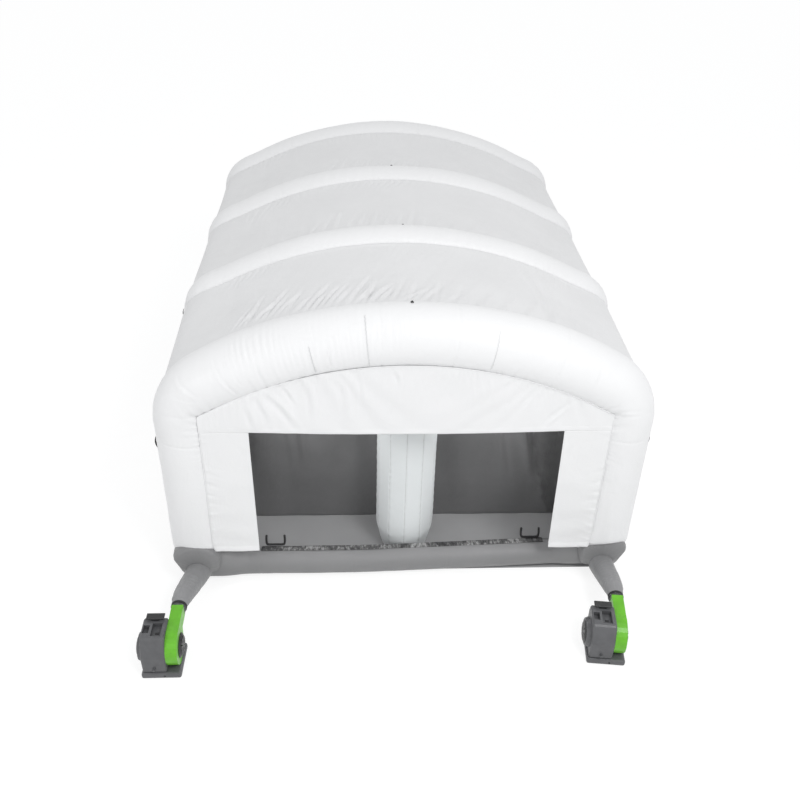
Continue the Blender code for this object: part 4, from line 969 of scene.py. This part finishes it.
def base_tube(side, sign):
    ends = smooth_line(np.stack([CAP_INSET, CAP_SHARE], -1), 33)
    ends = ends[np.concatenate([[True], np.diff(ends[:, 1]) > 1e-4])]
    y0, y1 = BASE_ENDS
    body = np.linspace(y0 + CAP_INSET[-1], y1 - CAP_INSET[-1], 300)[1:-1]
    rows = np.concatenate([y0 + ends[:, 0], body, y1 - ends[::-1, 0]])
    share = part(np.concatenate([ends[:, 1], np.ones(len(body)), ends[::-1, 1]]))

    def shape(u, v):
        k = row(v, len(rows))
        a = 2 * pi * u - pi / 2
        t = (u - 0.5) * 2 * pi * RUN_R
        y, fill = rows[k], share[k]
        inset = np.minimum(y - y0, y1 - y)
        edge = np.min([np.abs(y - arch_y(n)) - TUBE_R[n] for n in range(4)], axis=0)
        h = 0.005 * wander(y, t, 0.5, 0.3, 431) + 0.5 * pleats(t, inset - 0.02, 0.075, 0.11, 0.006, 436)
        h = h + 0.6 * pleats(y, t, 0.09, 0.16, 0.006, 441) * part(edge / 0.05)
        h = h + pinch(inset - 0.035, 0.0035, 0.012) * (fill > 0.95)
        h = h * part(1 - np.abs(2 * u - 1) ** 6) * fill
        rise = (RUN_R * fill + h) * np.sin(a)
        lean = 0.35 * np.maximum(-rise, 0) + 0.95 * np.maximum(0.14 - RUN_R - rise, 0)
        lean = lean * part((fill - 0.5) / 0.2) * np.where(y < 0, 1, -1) * part((0.6 - inset) / 0.5)
        end = part(1 - (y - y0) / 0.42) ** 1.5
        low_side = part(1 - 2.2 * np.sin(a)) * end
        wide = (RUN_R * fill + h) * np.cos(a) * (1 - np.where(np.cos(a) > 0, 0.30, 0.10) * low_side)
        back = (0.055 if sign > 0 else 0.0) * end
        point = np.stack([sign * (RUN_X + wide), y + lean + back, np.maximum(RUN_R + rise, 0.0)], -1)
        return point, (u * 2 * pi * RUN_R, y), np.exp(-inset / 0.10)

    return inflate(f"{side}_base", "grey", "grey_cloth", (72, len(rows) - 1), shape)


for side, sign in SIDES:
    base = base_tube(side, sign)
print("base faces", len(base.data.polygons))

# %% Thresholds across the front and the rear
THRESHOLD_HALF = RUN_X - 0.07


def threshold_back(x):
    """How far the front threshold bends back towards its right end."""
    return 0.11 * part((x + 0.5) / 2.4) ** 1.2


def make_threshold(name, y0, flare, back, seed):
    """Flare is how much the ends widen into the bases, and back bends the tube."""

    def shape(u, v):
        x = -THRESHOLD_HALF + 2 * THRESHOLD_HALF * v
        a = 2 * pi * u - pi / 2
        t = (u - 0.5) * 2 * pi * THRESHOLD_R
        ball = THRESHOLD_R + flare * ease((np.abs(x) - 1.52) / 0.28)
        h = 0.0030 * wander(x, t, 0.3, 0.2, seed) + 0.0008 * wander(x, t, 0.07, 0.15, seed + 1)
        h = h + pleats(t, 1.80 - np.abs(x), 0.06, 0.14, 0.0035, seed + 2)
        for at in (-1.42, -0.50, 0.46, 1.38):
            h = h + pinch(x - at, 0.0022, 0.007)
        h = h * part(1 - np.abs(2 * u - 1) ** 6)
        y = y0 + (ball + h) * np.cos(a) + back(x)
        point = np.stack([x, y, np.maximum(ball + (ball + h) * np.sin(a), 0.0)], -1)
        return point, (x, u * 2 * pi * THRESHOLD_R), 0.0

    inflate(name, "grey", "grey_cloth", (48, 300), shape)


make_threshold("front_threshold", THRESHOLD_Y[0], 0.065, threshold_back, 451)
make_threshold("rear_threshold", THRESHOLD_Y[1], 0.030, np.zeros_like, 461)
print("thresholds at y", [round(y, 3) for y in THRESHOLD_Y])

# %% [markdown]
# ## Strip, webbing loops and tie-downs
# A band of hook tape runs along the back of the threshold's top, for the window's cloth. Two black webbing
# loops stand up from it near its ends, and a short tie-down band bows out from each front leg. All are flat
# bands, so one helper lays a narrow grid along a line and gives it its thickness.

# %% Bands
TILT = radians(-13.0)
STRIP_WAY = np.array([0.0, cos(TILT), sin(TILT)])
STRIP_Y, STRIP_Z = THRESHOLD_Y[0] + THRESHOLD_R * 0.30, THRESHOLD_R * 1.965
LOOP_HALF = ((0.094, 0.108), (0.096, 0.055), (0.090, 0.012), (0.066, 0.0))
LOOP_MOVE = {"left": (0.0, 0.045), "right": (0.045, 0.115)}
BOW = ((0, 0), (0.12, 0.03), (0.32, 0.75), (0.5, 1.0), (0.68, 0.75), (0.88, 0.03), (1, 0))
BOW_TOP, BOW_LONG, BOW_OUT = 1.67, 0.19, 0.018
TABS = (
    ("crown_tab_1", 0, 0.015, -10, 0.020),
    ("crown_tab_2", 1, 0.03, -34, 0.022),
    ("crown_tab_3", 2, -0.02, -33, 0.022),
    ("side_tab", 1, -2.29, 6, 0.050),
)


def band(name, points, width, thickness, across=(0, 1, 0), *nodes, finish="webbing", slot="black_webbing"):
    """A flat band along points, its width along the way across, with a slightly crowned middle."""
    points, across = np.asarray(points, float), np.asarray(across, float)
    face = units(np.cross(np.gradient(points, axis=0), across))
    run = run_along(points)

    def shape(u, v):
        k = row(v, len(points))
        crown = thickness * 0.35 * (1 - (2 * u - 1) ** 2)
        point = points[k] + across * ((u - 0.5) * width)[:, None] + face[k] * crown[:, None]
        return point, (u * width, run[k]), 0.0

    piece = weave_cloth(name, finishes[finish], 6, len(points) - 1, shape)
    thicken(piece, thickness)
    dress(piece, slot, *nodes)


strip_low, strip_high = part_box("threshold_strip")
strip_x = np.linspace(strip_low.x, strip_high.x + 0.035, 120)
strip_z = STRIP_Z + 0.0006 * np.sin(strip_x * 37)
strip_line = np.stack([strip_x, STRIP_Y + threshold_back(strip_x), strip_z], -1)
strip_kind = {"finish": "tape", "slot": "strip_tape"}
band("threshold_strip_band", strip_line, 0.086, 0.003, STRIP_WAY, "threshold_strip", **strip_kind)
for side, sign in SIDES:
    low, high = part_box(f"{side}_threshold_loop")
    x0, y0, z0 = (low.x + high.x) / 2 + LOOP_MOVE[side][0], STRIP_Y + LOOP_MOVE[side][1], low.z + 0.008
    arch = [(-dx, up) for dx, up in LOOP_HALF] + [(0, 0.0)] + list(LOOP_HALF[::-1])
    arms = smooth_line([(x0 + dx, y0 - sin(TILT) * up, z0 + cos(TILT) * up) for dx, up in arch], 49)
    band(f"{side}_threshold_loop_band", arms, 0.022, 0.018, STRIP_WAY, f"{side}_threshold_loop")
    x = sign * (WIDTH / 2 + 0.002)
    bow = [(x + sign * BOW_OUT * out, FRONT_Y, BOW_TOP - BOW_LONG * down) for down, out in BOW]
    band(f"{side}_tie_band", smooth_line(bow, 40), 0.030, 0.006, (0, 1, 0), f"{side}_tie_loop")
for name, i, s, degrees, long in TABS:
    run = np.linspace(s - long / 2, s + long / 2, 7)
    band(name, tube_point(i, run, degrees, 0.002 + 0.008 * np.sin(np.linspace(0, pi, 7))), 0.026, 0.004)
print("strip from", round(strip_low.x, 3), "to", round(strip_high.x, 3))

# %% [markdown]
# ## Centre column
# Inside the window a fat inflated column holds the arch up. It is sewn from eleven long panels, so it shows
# upright facets with soft welds between them, and its foot tapers to the sides. A grid rolled round the
# column has the facets built in: each lies a little flatter than the circle, and each weld is drawn in. Fine
# grey cords mark these welds, and three of the front arch's, which show as thin lines in the photograph. The
# cords' grey is partly the welds' own line and partly painted shade of the weld grooves.

# %% Centre column
COLUMN_X, COLUMN_Y, COLUMN_R = 0.04, FRONT_Y + 0.37, 0.30
COLUMN_LOW, COLUMN_HIGH, FOOT_SHARE = 0.0033, CROWN_Z - 0.10, 0.10
FACETS, FACET_TURN = 11, radians(-3.5)
CORNER, TAPER, TAPER_HIGH = 0.03, 0.065, 0.26


def column_shape(u, v):
    a = 2 * pi * u
    up = np.maximum(v - FOOT_SHARE, 0) / (1 - FOOT_SHARE) * (COLUMN_HIGH - COLUMN_LOW)
    z = COLUMN_LOW + up
    angle = a + FACET_TURN + pi / FACETS + pi
    foot = COLUMN_R - TAPER * part(1 - up / TAPER_HIGH) * np.abs(np.sin(angle))
    rad = foot - CORNER + CORNER * np.sqrt(1 - (1 - part(up / CORNER)) ** 2)
    rad = np.where(v < FOOT_SHARE, (foot - CORNER) * v / FOOT_SHARE, rad)
    within = (a / (2 * pi) * FACETS) % 1.0 - 0.5
    facet = cos(pi / FACETS) / np.cos(within * 2 * pi / FACETS)
    weld = 0.5 - np.abs(within)
    h = -0.009 * bell(weld / 0.030) + 0.003 * wander(z, a * 0.3, 0.4, 0.2, 501)
    h = h + 0.0022 * wave(z / 0.10 + 0.7 * wander(z, a * 0.3, 0.3, 0.12, 502)) * np.exp(-weld / 0.16)
    h = h * part(1 - np.abs(2 * u - 1) ** 8)
    rad = rad * (0.35 + 0.65 * facet) + h * part(rad / 0.1)
    point = np.stack([COLUMN_X + rad * np.sin(angle), COLUMN_Y - rad * np.cos(angle), z], -1)
    return point, (u * 2 * pi * COLUMN_R, 2.6 * v), np.exp(-weld * 0.19 / 0.03)


inflate("centre_column", "column", "white_cloth", (200, 200), column_shape)
print("column at", round(COLUMN_X, 2), round(COLUMN_Y, 2))

# %% Weld lines on the column and the front arch
ARCH_WELDS = ((-0.83, 60, 112), (-0.36, 22, 118), (0.71, 40, 112))
up = np.linspace(0.115, 1.0, 60)
for k in range(FACETS):
    line = column_shape(np.full(len(up), k / FACETS), up)[0]
    dress(roll(f"column_weld_{k + 1}", finishes["weld"], line, 0.0038), "white_cloth")
for k, (s, first, last) in enumerate(ARCH_WELDS):
    degrees = np.linspace(first, last, 50)
    line = tube_point(0, s + 0.004 * np.sin(degrees * 0.9) + 0.003 * np.sin(degrees * 2.3), degrees, 0.001)
    dress(roll(f"arch_weld_{k + 1}", finishes["weld"], line, 0.0014), "white_cloth")
print("weld lines", FACETS + len(ARCH_WELDS))

# %% [markdown]
# ## Filter wall and ground sheet
# Behind the windows a dark filter cloth closes the room. It hangs from the roof panel without tension, so it
# falls in wide soft upright folds. The ground sheet lies flat, with a few long shallow ridges.

# %% Filter wall and ground sheet
FILTER_Y, FILTER_LOW, FILTER_WIDEST = FRONT_Y + 0.74, 0.0035, 2.222
near_y, far_y = (point[0, 1] for point in bay_edges(0, np.array([0.0]))[:2])
FILTER_V = (FILTER_Y - near_y) / (far_y - near_y)
FILTER_CREASES = (
    ([(0.95, 1.5), (1.03, 1.1), (1.12, 0.55)], 0.018, 0.03),
    ([(1.20, 1.9), (1.24, 1.2), (1.42, 0.50)], 0.060, 0.050),
    ([(-1.18, 1.9), (-1.16, 1.3), (-1.13, 0.75)], 0.020, 0.035),
    ([(-1.06, 1.6), (-1.04, 1.2), (-1.02, 0.85)], 0.014, 0.025),
)
sheet_low, sheet_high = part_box("ground_sheet")


def filter_shape(u, v):
    """The third value goes to the seam attribute as a painted shade mask: the side wall's shadow beside the
    right window, and painted shade towards the upper left.
    """
    s = (u - 0.5) * 2 * PANEL_HALF
    roof, out = hung(0, s, np.full(len(s), FILTER_V), roof_sag(s))
    top = roof - 0.020 * out
    x, z = top[:, 0], FILTER_LOW + (top[:, 2] - FILTER_LOW) * v
    aside = np.sqrt(np.maximum(RUN_R**2 - (np.maximum(z, RUN_R) - RUN_R) ** 2, 0))
    limit = np.where(z < 2 * RUN_R, RUN_X - aside - 0.004, FILTER_WIDEST)
    x = np.sign(x) * np.minimum(np.abs(x), limit)
    h = 0.012 * wave(x / 0.42 + 0.55 * wander(x, z, 0.6, 1.4, 511)) + 0.008 * wander(x, z, 0.16, 0.9, 512)
    h = h + 0.008 * wander(x, z, 0.3, 0.3, 513) + creases(x, z, FILTER_CREASES)
    fade = part((1 - v) / 0.12) * part(np.minimum(u, 1 - u) / 0.08) * part(0.15 + z / 0.9)
    # Painted shade: beyond edge lies the side wall's painted shadow, and the upper left is darkened too.
    edge = 1.36 + 0.24 * part(1 - z / 0.95) + 0.03 * wander(x, z, 0.2, 0.08, 521)
    dark = part((x - edge) / 0.05) + 0.55 * part((-x - 1.25) / 0.35) * part(z / 0.6)
    return np.stack([x, FILTER_Y + h * fade, z], -1), (5.0 * u, 2.6 * v), dark


def ground_shape(u, v):
    x = sheet_low.x + (sheet_high.x - sheet_low.x) * u
    y = sheet_low.y + (sheet_high.y - sheet_low.y) * v
    edge = np.minimum(np.minimum(u, 1 - u), np.minimum(v, 1 - v))
    ridge = part(wander(x, y, 0.5, 0.7, 521) + 0.5 * wander(x, y, 0.15, 0.9, 522))
    point = np.stack([x, y, 0.0016 + 0.0035 * ridge * part(edge / 0.03)], -1)
    return point, (4.0 * u, 5.7 * v), 0.0


curtain = sew("filter_wall", "filter", "filter_cloth", (240, 110), filter_shape, thickness=HEAVY_CLOTH)
ground = sew("ground_sheet", "floor", "floor_cloth", (120, 170), ground_shape, thickness=HEAVY_CLOTH)
print("filter wall at y", round(FILTER_Y, 3), "share of the bay", round(FILTER_V, 3))

# %% [markdown]
# ## Rear doors and zip
# The rear end is closed by two door leaves that meet at a zip. The frame's leaves are flat plates, so here
# each becomes a hanging sheet with soft folds, in the same place, and it rides on its own body. The zip's
# tapes are dark bands on the free edges, with a nylon coil along each. They keep the cloth flat beside them.

# %% Doors
ZIP_WIDE = 0.030


def make_leaf(side, sign):
    low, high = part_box(f"{side}_door")
    body = f"{side}_door"

    def point(x, v, out):
        z = low.z + (high.z - low.z) * v
        h = 0.007 * wander(x, z, 0.3, 0.8, 531)
        h = h + 0.005 * wave(x / 0.27 + 0.5 * wander(x, z, 0.4, 0.9, 532))
        h = h * part(np.minimum(DOOR_HALF - x, x - ZIP_WIDE) / 0.065) * part(np.minimum(v, 1 - v) / 0.05)
        return np.stack([sign * x, (low.y + high.y) / 2 + h + out, z], -1)

    def leaf_shape(u, v):
        return point(DOOR_HALF - (DOOR_HALF - 0.0005) * u, v, 0.0), (1.3 * u, 1.6 * v), 0.0

    def tape_shape(u, v):
        return point(0.0025 + 0.024 * u, 0.003 + 0.994 * v, 0.0016), (0.024 * u, 1.6 * v), 0.0

    leaf = sew(body, "panel", "panel_cloth", (60, 76), leaf_shape, body=body)
    tape = weave_cloth(f"{side}_zip_tape", finishes["webbing"], 4, 76, tape_shape)
    dress(tape, "black_webbing", body=body, thickness=0.0006)
    up = np.linspace(0.003, 0.997, 500)
    coil = point(0.0026 + 0.0006 * np.sin(up * 1500), up, 0.0030)
    dress(roll(f"{side}_zip_coil", finishes["webbing"], coil, 0.0018), "black_webbing", body=body)


for side, sign in SIDES:
    make_leaf(side, sign)

# %% [markdown]
# ## Air ducts
# From each front foot a cloth duct branches off as a wide cone and narrows to the blower's collar, where a
# black strap ties it. Air pressure rounds it out, but the taper leaves lengthwise pleats near the strap.

# %% Ducts and straps
BLOWER_AT = {"left": (-2.160, FRONT_Y - 1.215, 0.0), "right": (1.862, FRONT_Y - 1.165, -7.0)}
OUTLET = (0.0743, 0.3113, 0.345)
DUCT_END_R, DUCT_SLEEVE = 0.0673, 0.035
STRAP_R, STRAP_EDGE_R = 0.0715, 0.0700
STRAP_ROWS = (0, 0.002, 0.004, 0.016, 0.028, 0.030, 0.032)


def duct_line(side, sign):
    """The duct's middle line and radius, from inside the base tube to the blower's collar."""
    bx, by, turn = BLOWER_AT[side]
    c, s = cos(radians(turn)), sin(radians(turn))
    end = np.array([bx + OUTLET[0] * c - OUTLET[1] * s, by + OUTLET[0] * s + OUTLET[1] * c, OUTLET[2]])
    way = np.array([s, -c, 0.0])
    start = np.array([sign * (WIDTH / 2 - TUBE_R[0]), FRONT_Y - TUBE_R[0] * 0.85, 0.190])
    last = end - way * (DUCT_SLEEVE + 0.01)
    reach = np.linalg.norm(last - start)
    b, d = start * 0.8 + last * 0.2 + np.array([0, -0.08, 0]) * reach, last - way * reach * 0.22
    rings = []
    for t in np.linspace(0, 1, 9):
        p = start * (1 - t) ** 3 + b * 3 * t * (1 - t) ** 2 + d * 3 * t * t * (1 - t) + last * t**3
        rings.append((*p, DUCT_END_R + 0.028 * (1 - t**5) + 0.026 * (1 - t) ** 2))
    rings.append((*(last + way * 0.022), DUCT_END_R))
    rings.append((*end, DUCT_END_R))
    return rings, end, way


def duct_folds(u, s, whole):
    t = np.abs(u - 0.5) * 2 * pi * 0.08
    h = 0.0035 * wander(t, s, 0.06, 0.16, 601) + pleats(t, whole - s, 0.030, 0.16, 0.0026, 602)
    return h + 0.002 * wave(s / 0.055 + 0.8 * wander(s, t, 0.1, 0.1, 603)) * part(s / 0.3)


def open_tube(name, finish, rings, steps, folds=None):
    """A tube through rings of (x, y, z, radius), open at both ends."""
    line = smooth_line(rings, steps)
    return roll(name, finish, line[:, :3], line[:, 3], 64, (0, 0, 1.0), 0.5, folds, caps=False)


for side, sign in SIDES:
    rings, end, way = duct_line(side, sign)
    duct = open_tube(f"{side}_duct_cloth", finishes["duct"], rings, 120, duct_folds)
    dress(duct, "duct_cloth", f"{side}_duct", thickness=HEAVY_CLOTH)
    middle = end - way * (DUCT_SLEEVE / 2 + 0.016)
    ring = [(*(middle + way * k), STRAP_R if 0.003 < k < 0.029 else STRAP_EDGE_R) for k in STRAP_ROWS]
    strap = open_tube(f"{side}_duct_strap_band", finishes["webbing"], ring, 26)
    dress(strap, "black_webbing", f"{side}_duct_strap", thickness=0.002)
print("ducts end at", [round(float(c), 3) for c in end])

# %% [markdown]
# ## Blowers
# The frame's own blower parts have the right shape, so they stay and only get their finishes.

# %% Finishes on the frame's blower parts
BLOWER_FINISH = {
    **dict.fromkeys(("housing", "base", "outlet_collar"), "housing"),
    **dict.fromkeys(("scroll", "impeller"), "scroll"),
    **dict.fromkeys(("intake_grille", "motor_grille", "handle", "switch", "cable_gland"), "black"),
    **{"motor_shaft": "steel", "motor": "alloy", "zip_slider": "zip"},
}
for node, piece in sorted(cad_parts.items()):
    if piece.hide_render:
        continue
    key = next((key for key in sorted(BLOWER_FINISH, key=len, reverse=True) if key in node), "housing")
    finish = finishes[BLOWER_FINISH[key]]
    for slot in piece.material_slots:
        slot.material = finish
    print(node, "->", finish.name)
